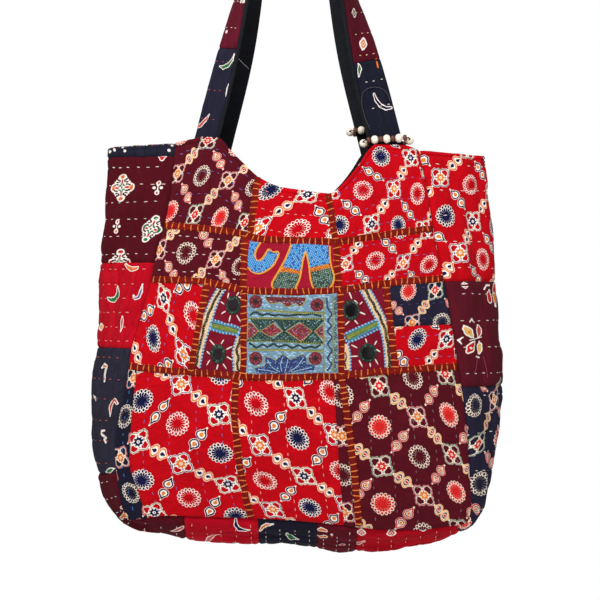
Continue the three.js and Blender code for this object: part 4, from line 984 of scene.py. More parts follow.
# name, from, to, slot, row spacing, thread, trellis or motifs: kind, pixel x, y, turn, size, inner
STRAW_INK, VIOLET_INK, RUST_INK = lin(232, 190, 110), lin(120, 96, 150), lin(190, 72, 60)
dot = lambda x, y, r, c=None: ("stroke", [(x, y, r), (x + 0.3, y + 0.2, r)], None) + ((c,) if c else ())
GUSSET = [
    ("gusset_left_rim_navy", ("left", -266), ("left", -277), "navy", 6, "blush",
     [dot(109.4, 155.4, 1.2), dot(108.8, 149.8, 1.0), dot(113.4, 154.4, 1.2), dot(112.6, 149.8, 0.9), dot(122, 151.5, 1.2), dot(123.9, 155, 1.2),
      dot(168.6, 152.5, 1.2), dot(171.2, 148, 1.0), ("leaf", 145, 147.5, 0, 0.5, NAVY)]),
    ("gusset_left_maroon", ("left", -277), ("left", -384), "maroon", 17, "white",
     [("medallion", 121.5, 187.6, 0, (1.26, 1.04), ORANGE_INK), ("medallion", 150.4, 228.6, -12, (0.8, 1.0), GREEN_INK), ("medallion", 117.0, 268.4, 0, (1.26, 1.04), CORAL),
      ("sprig", 158.0, 188.0, 0, 1.1, PINK_INK), ("sprig", 117.2, 226.6, 0, 1.1, ORANGE_INK),
      ("stroke", [(158.2, 157.3, 0.8), (162, 159.4, 2.3), (165.6, 157.6, 0.8)], CORAL)]),
    ("gusset_left_red", ("left", -384), ("left", -470), "red", 15, "blush",
     [("stroke", [(125.7, 264, 1.0), (128.7, 267.3, 2.0), (132.7, 269.3, 2.6), (136, 268.7, 2.3), (138.1, 267, 0.8)], ORANGE_INK),
      ("stroke", [(106.7, 297.6, 0.7), (110, 299.5, 2.1), (113.6, 299.2, 2.8), (116.7, 295.9, 2.6), (117.6, 291.8, 1.8), (116.9, 286, 0.5)], GREEN_INK),
      ("stroke", [(133.5, 295.5, 0.8), (135, 298.6, 1.4), (138, 297.2, 1.9), (140.7, 291.8, 1.6), (142.9, 284.1, 0.6)], VIOLET_INK),
      ("stroke", [(123.1, 316.2, 0.6), (122.1, 320.8, 1.6), (121.1, 326.1, 1.3), (120.4, 331.5, 0.6)], PINK_INK),
      ("stroke", [(100.6, 326.4, 2.4), (102.4, 328, 2.2)], STRAW_INK, PALE, 1.5)]),
    ("gusset_left_navy", ("left", -470), ("left", -595), "navy", 20, "rust",
     [("stroke", [(102, 367.6, 1.0), (104.7, 365.2, 1.9), (106.8, 366.5, 1.6), (106, 370.8, 1.1), (105.3, 376.3, 1.0), (105.2, 381.4, 0.9)], None),
      ("stroke", [(103.8, 365.8, 0.9), (105.9, 366.4, 0.8)], None, ORANGE_INK),
      ("stroke", [(116.7, 403.4, 1.3), (114, 399.8, 1.6), (112.1, 402.3, 1.8), (110.7, 407.2, 1.7), (110.5, 412.1, 1.1), (110.4, 416.4, 0.5)], RUST_INK),
      ("stroke", [(105, 430.5, 0.9), (102.6, 431, 0.9), (102.3, 433.2, 0.9), (104.7, 435.6, 1.0), (106.2, 438.1, 1.0), (104.7, 439.7, 0.7), (105.6, 442.4, 0.8)], None),
      ("stroke", [(93.8, 395.5, 0.9), (96, 399.5, 1.2)], None),
      ("leaf", 109.5, 470.5, 12, 1.0, GREEN_INK), ("stroke", [(96.8, 463, 0.9), (98.4, 467, 0.8)], None)]),
    ("gusset_corner_maroon", ("left", -595), ("bottom", -113), "maroon", 15, "white",
     [("stroke", [(120.5, 508, 1.2), (124.5, 507.8, 1.8), (126, 511.5, 1.9), (124.5, 515.5, 1.8), (121.5, 518, 1.2)], ORANGE_INK),
      ("stroke", [(145.2, 528, 0.7), (145.5, 531, 0.7)], None, ORANGE_INK),
      ("stroke", [(171, 529.6, 0.5), (176, 529.3, 1.6), (182, 527, 1.8)], PINK_INK)]),
    ("gusset_bottom_red", ("bottom", -113), ("bottom", -39), "red", 15, "blush",
     [("stroke", [(235.6, 520.8, 1.2), (235.9, 524.5, 2.1), (239, 528, 2.3), (244, 528.9, 1.5), (250, 528.6, 0.5)], NAVY_INK),
      ("stroke", [(204.5, 540, 1.1), (209, 537, 1.8), (214, 534, 1.3), (220, 532.6, 0.5)], PINK_INK),
      ("stroke", [(234, 541.5, 1.0), (238, 542.6, 1.6), (243, 543, 0.8)], GREEN_INK)]),
    ("gusset_bottom_navy", ("bottom", -39), ("bottom", 20), "navy", 15, "white",
     [("stroke", [(260, 531, 1.0), (262.5, 527, 2.0), (267, 525, 1.4), (273.5, 524.6, 0.5)], ORANGE_INK),
      ("stroke", [(287, 533.5, 0.9), (288, 538, 2.1), (291.5, 541.5, 1.9), (298, 542.5, 0.6)], GREEN_INK)]),
    ("gusset_bottom_maroon", ("bottom", 20), ("bottom", 60), "maroon", 14, "white",
     [("stroke", [(317.5, 531, 1.0), (321, 530, 2.0), (326, 531.2, 1.5)], ORANGE_INK), ("stroke", [(317.5, 537.4, 1.0), (321, 537.8, 2.0), (326, 536.6, 1.5)], ORANGE_INK),
      dot(331.5, 534.4, 1.1), dot(331.5, 536.6, 0.7, CORAL), ("leaf", 342, 546, 20, 0.5, CORAL)]),
    ("gusset_bottom_right_red", ("bottom", 60), ("bottom", 160), "red", 15, "blush",
     [("lozenge", 361.2, 533.6, 90, 0.66, CORAL), ("lozenge", 391.4, 533.9, 90, 0.66, CORAL),
      ("stroke", [(416.5, 528.6, 0.8), (423, 530.8, 2.2), (429.5, 528.6, 0.8)], GREEN_INK),
      ("stroke", [(355, 546.4, 1.0), (360, 545.2, 1.8), (364.5, 543, 1.0)], PINK_INK)]),
    ("gusset_corner_navy", ("bottom", 160), ("right", -509), "navy", 19, "white",
     {"mat": "block_navy", "lay": [(478.1, 444.1, 1, 0), (478.1, 483.9, 0.5, 0.5), (477.4, 405.1, 1.5, -0.5), (475.1, 518.3, 0, 1), (494.2, 399.7, 2, 0)]}),
    ("gusset_right_maroon", ("right", -509), ("right", -403), "maroon", 28, "white",
     [("stroke", [(463.2, 325.8, 0.9), (465.3, 329, 3.3), (467.7, 332, 4.6), (470.2, 335, 3.2), (472.5, 337.8, 0.8)], STRAW_INK, PALE, 1.5), dot(467.9, 332.4, 1.1, ORANGE_INK),
      ("stroke", [(467.4, 351.8, 2.4), (470, 348.2, 4.3), (472.2, 344.6, 3.0), (474.2, 341.4, 0.8)], CORAL, PALE, 1.4), dot(470.2, 348, 1.1),
      ("stroke", [(477.4, 325.6, 1.3), (478.3, 329, 2.7), (478.4, 332.5, 2.7), (478, 337.6, 0.8)], RUST_INK, PALE, 1.1),
      ("stroke", [(479.2, 341.5, 0.8), (480, 345.5, 2.8), (479.8, 349.5, 2.8), (479.2, 353.2, 1.2)], STRAW_INK, PALE, 1.2),
      ("stroke", [(469, 340.4, 0.45), (481, 337, 0.45)], None),
      ("stroke", [(468.7, 322.3, 0.6), (471.2, 319, 0.85), (473.8, 322.3, 0.6)], None), ("stroke", [(462.9, 337.3, 0.6), (458.8, 340.2, 0.85), (461.4, 344, 0.6)], None),
      ("stroke", [(476, 356.5, 0.7), (479.2, 357.5, 0.8)], None),
      ("darts", 464.3, 285.4, 0, 0.95, PINK_INK), ("darts", 498, 340.3, 90, 0.75, CORAL),
      ("stroke", [(490.1, 291.1, 1.6), (489.9, 295.6, 3.6), (489.9, 299, 3.6)], CORAL, PALE, 1.4), ("stroke", [(484.4, 289.2, 0.7), (486.8, 285.4, 0.8), (490.1, 285, 0.8)], None),
      ("stroke", [(494.3, 285.5, 1.6), (494.6, 290.5, 2.6)], CORAL), ("stroke", [(494.8, 296, 2.6), (495, 301, 2.0)], ORANGE_INK), dot(495.1, 305.6, 1.2),
      ("stroke", [(497.3, 385, 1.2), (500.4, 379.5, 1.5)], GREEN_INK)]),
    ("gusset_right_red", ("right", -403), ("right", -270), "red", 28, "white",
     {"mat": "block_red", "lay": [(440.6, 177.5, 0, 0), (473.5, 221.1, 0, 1), (458.2, 253.3, -1, 1), (470.5, 185.2, 0.5, 0.5), (446, 216.5, -0.5, 0.5),
                                  (483.5, 259.4, -0.5, 1.5), (455.2, 163, 0.5, 0), (468.2, 236.4, -0.5, 1), (459, 198.2, 0, 0.5)]}),
]
# grounds of single gusset patches; the two bottom reds are darker copies of the red ground, painted shade on the bag's
# underside
GROUND_AND_SHADE = {"gusset_right_maroon": lin(90, 21, 34), "gusset_bottom_red": lin(184, 9, 31), "gusset_bottom_right_red": lin(174, 8, 27),
              "gusset_bottom_navy": lin(29, 28, 43), "gusset_bottom_maroon": lin(94, 17, 30), "gusset_left_navy": lin(45, 43, 58), "gusset_left_red": lin(190, 9, 31)}


def seen_near(G, uv, seen, px, py):
    """The cloth coordinates of what the camera sees at a pixel, and the pixels to a millimetre there."""
    pix = to_pixel(G)
    d = ((pix - np.array([px, py])) ** 2).sum(-1) + np.where(seen, 0.0, 1e6)
    i, j = np.unravel_index(int(d.argmin()), d.shape)
    i0, i1, j0, j1 = max(i - 1, 0), min(i + 1, d.shape[0] - 1), max(j - 1, 0), min(j + 1, d.shape[1] - 1)
    M = np.stack([pix[i1, j] - pix[i0, j], pix[i, j1] - pix[i, j0]], 1)
    D = np.stack([uv[i1, j] - uv[i0, j], uv[i, j1] - uv[i, j0]], 1)
    k = math.sqrt(abs(np.linalg.det(M)) / max(abs(np.linalg.det(D)), 1e-9))
    if k < 0.12:
        return uv[i, j], k
    step = np.clip(np.linalg.solve(M, np.array([px, py]) - pix[i, j]), -0.6, 0.6)
    return uv[i, j] + D @ step, k


def seen_at(G, uv, seen, px, py):
    return seen_near(G, uv, seen, px, py)[0]


def laid(art, G, uv, seen):
    """Printed marks given by pixel, in the cloth's own coordinates."""
    out = []
    for kind, *rest in art:
        if kind == "stroke":
            pts = []
            for px, py, r in rest[0]:
                at, k = seen_near(G, uv, seen, px, py)
                pts.append((float(at[0]), float(at[1]), r / min(1.0, max(0.65, k))))
            out.append((kind, pts, *rest[1:]))
        else:
            px, py, turn, size, ink_c = rest
            u, v = seen_at(G, uv, seen, px, py)
            out.append((kind, float(u), float(v), turn, size, ink_c))
    return out


for k, (name, lo, hi, slot, spacing, thread, art) in enumerate(GUSSET):
    seed = 70 + k
    r0, r1 = run_of(*lo), run_of(*hi)
    r0 += GAP / 2 if r0 > 0 else 0
    r1 -= GAP / 2 if r1 < RUN_END - 1e-6 else 0
    A = stops(r1 - r0, hems=(r0 < 1e-6, r1 > RUN_END - 1e-6))
    arc = float(np.linalg.norm(np.diff(smooth_gusset(np.full(60, (r0 + r1) / 2), np.linspace(0, 1, 60)), axis=0), axis=1).sum())
    B = stops(arc)
    a, b = np.meshgrid(A, B, indexing="ij")
    run = r0 + (r1 - r0) * a
    G = smooth_gusset(run, b)
    G[..., 2] -= 4.0 * np.exp(-np.minimum(run, RUN_END - run) / 20.0) * np.sin(np.pi * b) ** 1.3
    N = grid_normals(G)
    outward = np.stack([np.cos(np.radians(seam_turn(run))), 0 * run, np.sin(np.radians(seam_turn(run)))], 2)
    N = N * np.sign(np.sum(N * outward, 2).mean())
    tall = np.full_like(a, arc)
    wide = np.full_like(a, r1 - r0)
    rel = quilt_relief(a, b, wide, tall, "v", spacing, seed, run, b * arc)
    side = np.clip(np.abs(b - 0.5) * 4 - 0.1, 0, 1) * np.sin(np.pi * b)
    # upright gathers beside the seams, and slack creases
    rel = rel + side * (3.2 * noise(run / 34, b * arc / 18, 31) + 4.2 * noise(run / 46, b * arc / 7.5, 33))
    pull = 1 - 2 * np.abs(noise(run / 42 + b * 1.5, b * arc / 11, 37))
    under = 1.0 if RUN_L - 30 < (r0 + r1) / 2 < RUN_R + 30 else 0.0
    rel = rel + (1.2 + 0.6 * under) * np.sin(np.pi * b) * pull * np.clip(np.minimum(a, 1 - a) * (r1 - r0) / 16, 0, 1)
    rel = rel - 2.6 * np.exp(-((np.minimum(b, 1 - b) * arc / 3.0) ** 2))
    rel = rel - 1.2 * np.exp(-(((np.minimum(run, RUN_END - run) - 5.2) / 0.75) ** 2))
    outer = G + N * rel[..., None]
    pressed = np.exp(-(((b - 0.5) * arc / 8.0) ** 2)) * np.exp(-np.minimum(run, RUN_END - run) / 70.0)  # thin in the sharp fold
    inner = outer - N * (THICK * (1 - 0.8 * pressed))[..., None]
    N2 = grid_normals(outer)
    N2 = N2 * np.sign(np.sum(N2 * N, 2, keepdims=True))
    cloths[name] = Cloth(A, B, outer, N2)
    # cloth coordinates that read upright from the front
    mid = (r0 + r1) / 2
    along = b * arc
    if mid < RUN_L + 12:
        uv, fold = np.stack([-along, -run], 2), (-1.0, arc)
    elif mid < RUN_R - 6:
        uv, fold = np.stack([run, -along], 2), None
    else:
        uv, fold = np.stack([along, run], 2), (1.0, arc)
    if isinstance(art, dict):
        lay = [(seen_at(G, uv, b <= 0.5, p, q), trellis(s, t)) for p, q, s, t in art["lay"]]
        uv = spline([u for u, _ in lay], [v for _, v in lay], 0.08)(uv)
        mat = MATS[art["mat"]]
    else:
        spots = laid(art, G, uv, b <= 0.5)
        if fold is None:  # the far half of the bottom repeats the near one
            for kind, *rest in spots[:]:
                if kind == "stroke":
                    spots.append((kind, [(u + 9.0, -arc - v, r) for u, v, r in rest[0]], *rest[1:]))
                else:
                    spots.append((kind, rest[0] + 9.0, -arc - rest[1], rest[2] + 180, *rest[3:]))
        mat = cloth_material(name, GROUND_AND_SHADE.get(name, GROUNDS[slot]), scattered(spots, fold), bump=0.7,
                             crease_and_shade=((60, 10, 1.2) if fold is None else (13, 60, 0.6 if slot == "maroon" else 1.4)))
    me = shell_mesh(name, outer, inner, uv, mat, MATS["inside"], np.minimum(run, RUN_END - run) < 13)
    ob = link(me, name + "_cloth", name)
    declare(sheet_area(outer), float(r1 - r0), arc)
    if name != "gusset_left_rim_navy":
        st = running_stitch(cloths[name], wide, tall, "v", spacing, seed, pitch=9.5, dash=3.4)
        if st:
            dashes.setdefault(("gusset", thread), []).append(st)

for i, b0 in enumerate(np.arange(0.03, 0.97, 0.017)):  # overcast edge of the rim band
    (p, n1), (q, _) = (cloths["gusset_left_rim_navy"].at(np.array([a0]), np.array([b0 + db])) for a0, db in ((0.03, 0.0), (0.12, 0.011)))
    dashes.setdefault(("rim", ("blush", "ink", "white", "navy", "violet", "rust")[i % 6]), []).append((p, q, n1))
for (where, thread), parts in dashes.items():
    P, Q, N = (np.concatenate([p[i] for p in parts]) for i in range(3))
    stitch_mesh(f"running_stitch_{where}_{thread}", P, Q, N, 0.85, 0.55, THREADS[thread])

# ------------------------------------------------------------------ reading the front by pixel
_v, _f = [], []
for row in FRONT:
    g = cloths[row[0]].G
    s = len(_v)
    _v.extend(g.reshape(-1, 3).tolist())
    _f.extend((grid_quads(*g.shape[:2]) + s).tolist())
front_tree = BVHTree.FromPolygons([Vector(p) for p in _v], _f)


def by_pixel(px, py):
    """The place on the front cloth seen at a pixel, and the way out of the cloth there."""
    d = Vector(((px - 300) / REACH, 1.0, -(py - 300) / REACH)).normalized()
    hit, n, _, _ = front_tree.ray_cast(Vector(CAM), d)
    if hit is None:
        return None
    return np.array(hit), np.array(n if n.y < 0 else -n)


def by_front(x, z):
    """The same for a place straight in front of the cloth."""
    hit, n, _, _ = front_tree.ray_cast(Vector((x, -400.0, z)), Vector((0, 1, 0)))
    if hit is None:
        return np.array([x, -float(depth(x, z)), z]), np.array([0.0, -1.0, 0.0])
    return np.array(hit), np.array(n if n.y < 0 else -n)


# ------------------------------------------------------------------ seam tape and its stitches
TAPE_W = 6.4
tape_paths = []


def across_path(name, lo, hi):
    x = np.linspace(lo, hi, int((hi - lo) / 2.4))
    tape_paths.append((np.stack([x, joins[name](x)], 1), 0.75))


def up_path(name, lo, hi):
    z = np.linspace(lo, hi, int((hi - lo) / 2.4))
    tape_paths.append((np.stack([uprights[name](z), z], 1), 0.45))


across_path("upper", float(left_x(-346)) + 1.5, float(right_x(-350)) - 1.5)
across_path("middle", float(left_x(-401)) + 1.5, float(right_x(-400)) - 1.5)
across_path("lower", float(left_x(-489)) + 1.5, float(right_x(-488)) - 1.5)
for n, lo, hi in (("yoke_left", -357, -299), ("yoke_right", -363, -316), ("legs_left", -411, -357),
                  ("legs_right", -411, -365), ("mirror_left", -493, -405), ("diamond_left", -496, -413),
                  ("diamond_right", -496, -413), ("mirror_right", -490, -407), ("hem_middle", -639, -498),
                  ("tape_right", -647, -497)):
    up_path(n, lo, hi)

tape_v, tape_f, tape_uv = [], [], []
seam_P, seam_Q, seam_N = [], [], []
rng = np.random.RandomState(5)
for path, lift in tape_paths:
    t = np.gradient(path, axis=0)
    t /= np.linalg.norm(t, axis=1, keepdims=True)
    nrm = np.stack([-t[:, 1], t[:, 0]], 1)
    length = np.concatenate([[0], np.cumsum(np.linalg.norm(np.diff(path, axis=0), axis=1))])
    wob = noise(length / 9.0, 0 * length, len(tape_v) * 0.01) * 0.5
    cross = [(-0.5, 0.0), (-0.44, 0.62), (-0.2, 0.8), (0.2, 0.8), (0.44, 0.62), (0.5, 0.0)]
    base = len(tape_v)
    for i, p in enumerate(path):
        pts = []
        for w, up in cross:
            q = p + nrm[i] * (w * TAPE_W + wob[i])
            h, n = by_front(*q)
            pts.append(h + n * (lift * 0.55 + up * 0.9))
            tape_uv.append((length[i], w * TAPE_W))
        for w, up in cross[::-1]:
            q = p + nrm[i] * (w * TAPE_W + wob[i])
            h, n = by_front(*q)
            pts.append(h - n * 0.25)
            tape_uv.append((length[i], w * TAPE_W))
        tape_v.extend(pts)
    m = 2 * len(cross)
    for i in range(len(path) - 1):
        for j in range(m):
            j2 = (j + 1) % m
            tape_f.append((base + i * m + j, base + i * m + j2, base + (i + 1) * m + j2, base + (i + 1) * m + j))
    tape_f.append(tuple(base + j for j in range(m))[::-1])
    tape_f.append(tuple(base + (len(path) - 1) * m + j for j in range(m)))
    # slanting stitches across the tape
    s = 2.0
    while s < length[-1] - 1.0:
        c = np.array([np.interp(s, length, path[:, 0]), np.interp(s, length, path[:, 1])])
        i = min(len(path) - 1, int(np.searchsorted(length, s)))
        lean = rng.uniform(-0.9, 0.9)
        half = 3.55 + rng.uniform(-0.3, 0.5)
        a, b = c + nrm[i] * half + t[i] * lean, c - nrm[i] * half - t[i] * lean
        (pa, na), (pb, nb), (pm, nm) = by_front(*a), by_front(*b), by_front(*c)
        mid = pm + nm * (lift * 0.55 + 1.0)
        seam_P += [pa, mid - nm * 0.15]
        seam_Q += [mid - nm * 0.15, pb]
        seam_N += [na, nb]
        s += rng.uniform(5.2, 7.4)
me = bpy.data.meshes.new("seam_tape")
me.from_pydata((np.array(tape_v) * MM).tolist(), [], tape_f)
me.polygons.foreach_set("use_smooth", np.ones(len(me.polygons), bool))
layer = me.uv_layers.new(name="cloth")
vi = np.empty(len(me.loops), np.int32)
me.loops.foreach_get("vertex_index", vi)
layer.data.foreach_set("uv", (np.array(tape_uv) / 100.0)[vi].astype(np.float32).ravel())
me.materials.append(MATS["tape"])
ob = link(me, "seam_tape_cloth", "seam_tape")
tape_run = sum(float(np.linalg.norm(np.diff(path, axis=0), axis=1).sum()) for path, _ in tape_paths)
declare(tape_run * TAPE_W, TAPE_W, tape_run)


def band_mesh(name, pts_list, widths, thick, mat):
    """Threads that lie along polylines: round tubes flattened on to what they lie on."""
    v, f = [], []
    for (pts, nor), w in zip(pts_list, widths):
        pts, nor = np.array(pts), np.array(nor)
        t = np.gradient(pts, axis=0)
        t /= np.maximum(np.linalg.norm(t, axis=1, keepdims=True), 1e-9)
        s = np.cross(t, nor)
        s /= np.maximum(np.linalg.norm(s, axis=1, keepdims=True), 1e-9)
        base, k, n = len(v), 6, len(pts)
        for i in range(n):
            for j in range(k):
                an = 2 * math.pi * j / k
                v.append(pts[i] + s[i] * (math.cos(an) * w / 2) + nor[i] * (math.sin(an) * thick / 2))
        for i in range(n - 1):
            for j in range(k):
                j2 = (j + 1) % k
                f.append((base + i * k + j, base + i * k + j2, base + (i + 1) * k + j2, base + (i + 1) * k + j))
        f.append(tuple(base + j for j in range(k))[::-1])
        f.append(tuple(base + (n - 1) * k + j for j in range(k)))
    me = bpy.data.meshes.new(name)
    me.from_pydata((np.array(v) * MM).tolist(), [], f)
    me.polygons.foreach_set("use_smooth", np.ones(len(f), bool))
    me.materials.append(mat)
    return link(me, name)


# each seam stitch is one thread: out of the cloth, over the tape and back
lines = []
for i in range(0, len(seam_P), 2):
    a, m, b = seam_P[i], seam_Q[i], seam_Q[i + 1]
    na, nb = seam_N[i], seam_N[i + 1]
    nm = (na + nb) / np.linalg.norm(na + nb)
    pts = [a - na * 0.4, a + na * 0.45, a + (m - a) * 0.35 + na * 0.45, m + nm * 0.35, b + (m - b) * 0.35 + nb * 0.45, b + nb * 0.45, b - nb * 0.4]
    lines.append((pts, [na, na, na, nm, nb, nb, nb]))
band_mesh("seam_stitches", lines, [1.15] * len(lines), 0.9, THREADS["orange"])

# ------------------------------------------------------------------ straps
STRAP = dict(layer=1.5, split=0.3, width=34.0, border=4.0, rise=259.7, tuck=24.0)
STRAPS = [("front_strap", 88.6, 30.0, -1, -17.5, -20.0, -166.0, -180.0),
          ("back_strap", 80.6, 20.0, 1, 17.5, 20.0, -170.0, -180.0)]


def strap_line(foot, arch, face, mid_foot, mid_top):
    top = STRAP["layer"] + STRAP["split"] / 2
    rim = top - STRAP["rise"]
    centre = top - arch
    rise = centre - rim
    lean = 0.0
    for _ in range(60):
        lean = math.asin((foot * math.cos(lean) - arch) / rise)
    straight = math.sqrt(foot**2 + rise**2 - arch**2)
    length = 2 * (STRAP["tuck"] + straight) + arch * (math.pi - 2 * lean)

    def at(run):
        run = np.asarray(run, float)
        falling = run > length / 2
        r = np.where(falling, length - run, run)
        hand = np.where(falling, 1.0, -1.0)
        along = r - STRAP["tuck"]
        angle = lean + np.maximum(0, along - straight) / arch
        leg = along < straight
        x = np.where(leg, foot - math.sin(lean) * along, np.cos(angle) * arch)
        z = np.where(leg, rim + math.cos(lean) * along, centre + np.sin(angle) * arch)
        share = np.clip(along / straight, 0, 1)
        turn = share * share * (3 - 2 * share)
        way = np.stack([np.sin(angle), 0 * angle, np.where(falling, -1, 1) * np.cos(angle)], -1)
        outward = np.stack([hand * np.cos(angle), 0 * angle, np.sin(angle)], -1)
        # the left leg of the front strap stands turned from its foot up, its inner edge forward
        aside = ~falling if face < 0 else falling & ~falling
        angled = np.where(aside, 0.465 + 0.535 * turn**1.75, turn)
        c, s = np.cos(angled * math.pi / 2), np.sin(angled * math.pi / 2)
        normal = outward * s[..., None] + np.stack([0 * c, face * c, 0 * c], -1)
        place = np.stack([hand * x, mid_foot + (mid_top - mid_foot) * turn, z], -1)
        place[..., 0] -= np.where(falling, 0.0, 3.2) * np.clip((230 - along) / 70, 0, 1) + np.where(aside, 0.6, 0.0) * (1 - share)
        place[..., 1] += np.where(aside, 12.0, 0.0) * (1 - turn)
        return place, normal, np.cross(way, normal) * -face

    return length, at, (lambda z: STRAP["tuck"] + (z - rim) / math.cos(lean))


STRAP_ART = {  # by pixel
    "left_navy": [("stroke", [(219.8, 66.3, 0.8), (223.6, 67.3, 1.9), (228.3, 65, 1.9), (232.1, 60, 1.3), (234.2, 53.8, 0.5)], GREEN_INK),
                  ("stroke", [(228.6, 84.2, 0.6), (227.2, 90.4, 1.3), (226.4, 96.2, 0.8)], None),
                  ("stroke", [(196, 127.3, 1.2), (200.7, 125, 2.0), (205.5, 120.2, 1.8), (209.3, 114, 0.5)], PINK_INK)],
    "top_maroon": [dot(240.8, 1.2, 1.2), dot(243.2, 0.9, 1.3), dot(226.2, 31.6, 1.1), ("lozenge", 354.2, 13, 160, 0.72, NAVY_INK),
                   ("lozenge", 363.2, 43.8, 157, 0.98, ORANGE_INK), ("stroke", [(375.6, 59.5, 0.8), (377.2, 63, 0.9)], None, ORANGE_INK)],
    "right_navy": [("stroke", [(358.6, 63.8, 0.8), (359.6, 69, 2.4), (358.8, 76.5, 0.8)], GREEN_INK), ("stroke", [(376.8, 62, 0.9), (378.2, 67.5, 0.6)], None, ORANGE_INK),
                   ("stroke", [(374.1, 93.7, 1.1), (376, 100, 1.8), (380.6, 105.8, 2.1), (386.3, 108.3, 2.1), (391, 107.7, 1.4)], NAVY_INK)],
}
strap_lines = {}
strap_mats = {}
strap_dash = {}
strap_seen = {}
for name, foot, arch, face, mf, mt, zl, zr in STRAPS:
    length, at, run_at_z = strap_line(foot, arch, face, mf, mt)
    strap_lines[name] = (length, at)
    half, low = STRAP["width"] / 2, STRAP["split"] / 2
    high = low + STRAP["layer"]
    a, b = run_at_z(zl), length - run_at_z(zr)
    put = lambda w2, h2: place[:, None, :] + inner[:, None, :] * w2[..., None] + normal[:, None, :] * h2[..., None]
    # lining: black cloth behind, turned over the inner edge as a border
    runs = np.linspace(0, length, 300)
    w = np.array([-half, -half + 0.7, -half + 2, -9, -3, 3, 9, half - STRAP["border"] + 0.25, half - STRAP["border"] + 0.9, half - 2, half - 0.7, half])
    raised = np.array([0, 0, 0, 0, 0, 0, 0, 0, 1, 1, 0.85, 0.3])
    place, normal, inner = at(runs)
    ww, rr = np.meshgrid(w, runs)
    wave = 0.35 * noise(rr / 14, ww / 9, 3) + 0.5 * noise(rr / 37, ww * 0, 4)
    hgt = -low + raised[None, :] * (STRAP["layer"] + 0.25 + 0.2 * noise(rr / 5, ww * 0, 6))
    edge = np.exp(-((half - np.abs(ww)) / 1.2) ** 2)
    hem = np.exp(-((half - np.abs(ww) - 3.2) / 0.8) ** 2)
    top_g = put(ww, hgt - 0.3 * edge)
    bot_g = put(ww, np.full_like(ww, -high) + 0.45 * edge + 0.3 * hem + 0.4 * wave * (1 - edge))
    me = shell_mesh(name + "_lining", top_g, bot_g, np.stack([ww, rr], 2), MATS["lining"])
    ob = link(me, name + "_lining_cloth", name + "_lining_black")
    declare(sheet_area(bot_g), STRAP["width"], length)
    lo_w, hi_w = -half, half - STRAP["border"]
    for part, r0, r1, slot, thread in (("left_navy", 0.0, a - 0.2, "navy", "rust"), ("top_maroon", a + 0.2, b - 0.2, "maroon", "white"),
                                       ("right_navy", b + 0.2, length, "navy", "white")):
        A = stops(r1 - r0)
        B = stops(hi_w - lo_w, 2.0)
        runs = r0 + (r1 - r0) * A
        place, normal, inner = at(runs)
        ww, rr = np.meshgrid(lo_w + (hi_w - lo_w) * B, runs)
        d = np.minimum(ww - lo_w, hi_w - ww)
        ends = np.minimum(rr - r0, r1 - rr)
        rel = (-0.9 * np.exp(-((d / 1.1) ** 2)) - 0.9 * np.exp(-((ends / 1.3) ** 2)) + 0.35 * np.exp(-(((d - 8) / 6) ** 2))
               + 0.35 * noise(rr / 22, ww / 4.2, 9) + 0.25 * noise(rr / 9, ww / 3.0, 14) + 0.15 * noise(rr / 3.2, np.round(d / 5), 12))
        rows_at = {"left_navy": np.arange(r0 + 15.0, r1 - 6, 30.0), "right_navy": np.arange(r0 + 21.0, r1 - 50, 27.0)}.get(part)
        if rows_at is None:
            rows_at = np.concatenate([np.arange(r0 + 21.0, (r0 + r1) / 2 - 10, 28.0), np.arange(r1 - 6.0, (r0 + r1) / 2 + 10, -22.0)])
        for c in rows_at:
            rel = rel - 0.3 * np.exp(-(((rr - c) / 1.5) ** 2))
        top_g = put(ww, high + 0.15 + rel)
        bot_g = put(ww, np.full_like(ww, low))
        uv = np.stack([ww, rr], 2)
        if part not in strap_mats:
            spots = laid(STRAP_ART[part], top_g, uv, np.ones_like(ww, bool))
            if part == "top_maroon":
                for c in np.arange(r0 + 95, r1 - 85, 46.0):
                    spots.append(("lozenge", -2.0, float(c), 10, 1.0, ORANGE_INK))
            tint = {"left_navy": lin(38, 37, 55), "right_navy": lin(29, 30, 44), "top_maroon": lin(88, 19, 33)}[part]
            prints = scattered(spots)
            if part == "top_maroon":  # less faded on the left leg
                def prints(nt, x, y, ink, marks=spots, mid=(r0 + r1) / 2):
                    ink.put(((mid + 60.0 - y) * (1 / 120.0)).max(0.0).min(1.0), lin(100, 20, 38))
                    scattered(marks)(nt, x, y, ink)
            strap_mats[part] = cloth_material("strap_" + part, tint, prints, worn=0.16, crease_and_shade=(6, 46, 1.2))
        me = shell_mesh(name + "_" + part, top_g, bot_g, uv, strap_mats[part])
        ob = link(me, f"{name}_{part}_cloth", f"{name}_{part}")
        declare(sheet_area(top_g), hi_w - lo_w, r1 - r0)
        N = grid_normals(top_g)
        N = N * np.sign(np.sum(N * normal[:, None, :], 2, keepdims=True))
        cl = Cloth(A, B, top_g, N)
        rng = np.random.RandomState(31)
        strap_seen.setdefault(name, []).append(top_g)
        P, Q = [], []
        for c in rows_at:
            t = rng.uniform(3.0, 5.0)
            while t < hi_w - lo_w - 5:
                P.append(((c - r0) / (r1 - r0), t / (hi_w - lo_w)))
                Q.append(((c - r0 + rng.uniform(-0.6, 0.6)) / (r1 - r0), (t + 2.8) / (hi_w - lo_w)))
                t += rng.uniform(7.0, 9.5)
        P, Q = np.array(P), np.array(Q)
        p, n1 = cl.at(P[:, 0], P[:, 1])
        q, _ = cl.at(Q[:, 0], Q[:, 1])
        late = P[:, 0] > 0.5 if part == "top_maroon" else np.zeros(len(P), bool)
        for kind, some in ((thread, ~late), ("straw", late)):
            if some.any():
                strap_dash.setdefault(kind, []).append((p[some], q[some], n1[some]))
for thread, parts in strap_dash.items():
    P, Q, N = (np.concatenate([p[i] for p in parts]) for i in range(3))
    stitch_mesh(f"strap_stitch_{thread}", P, Q, N, 0.85, 0.5, THREADS[thread])

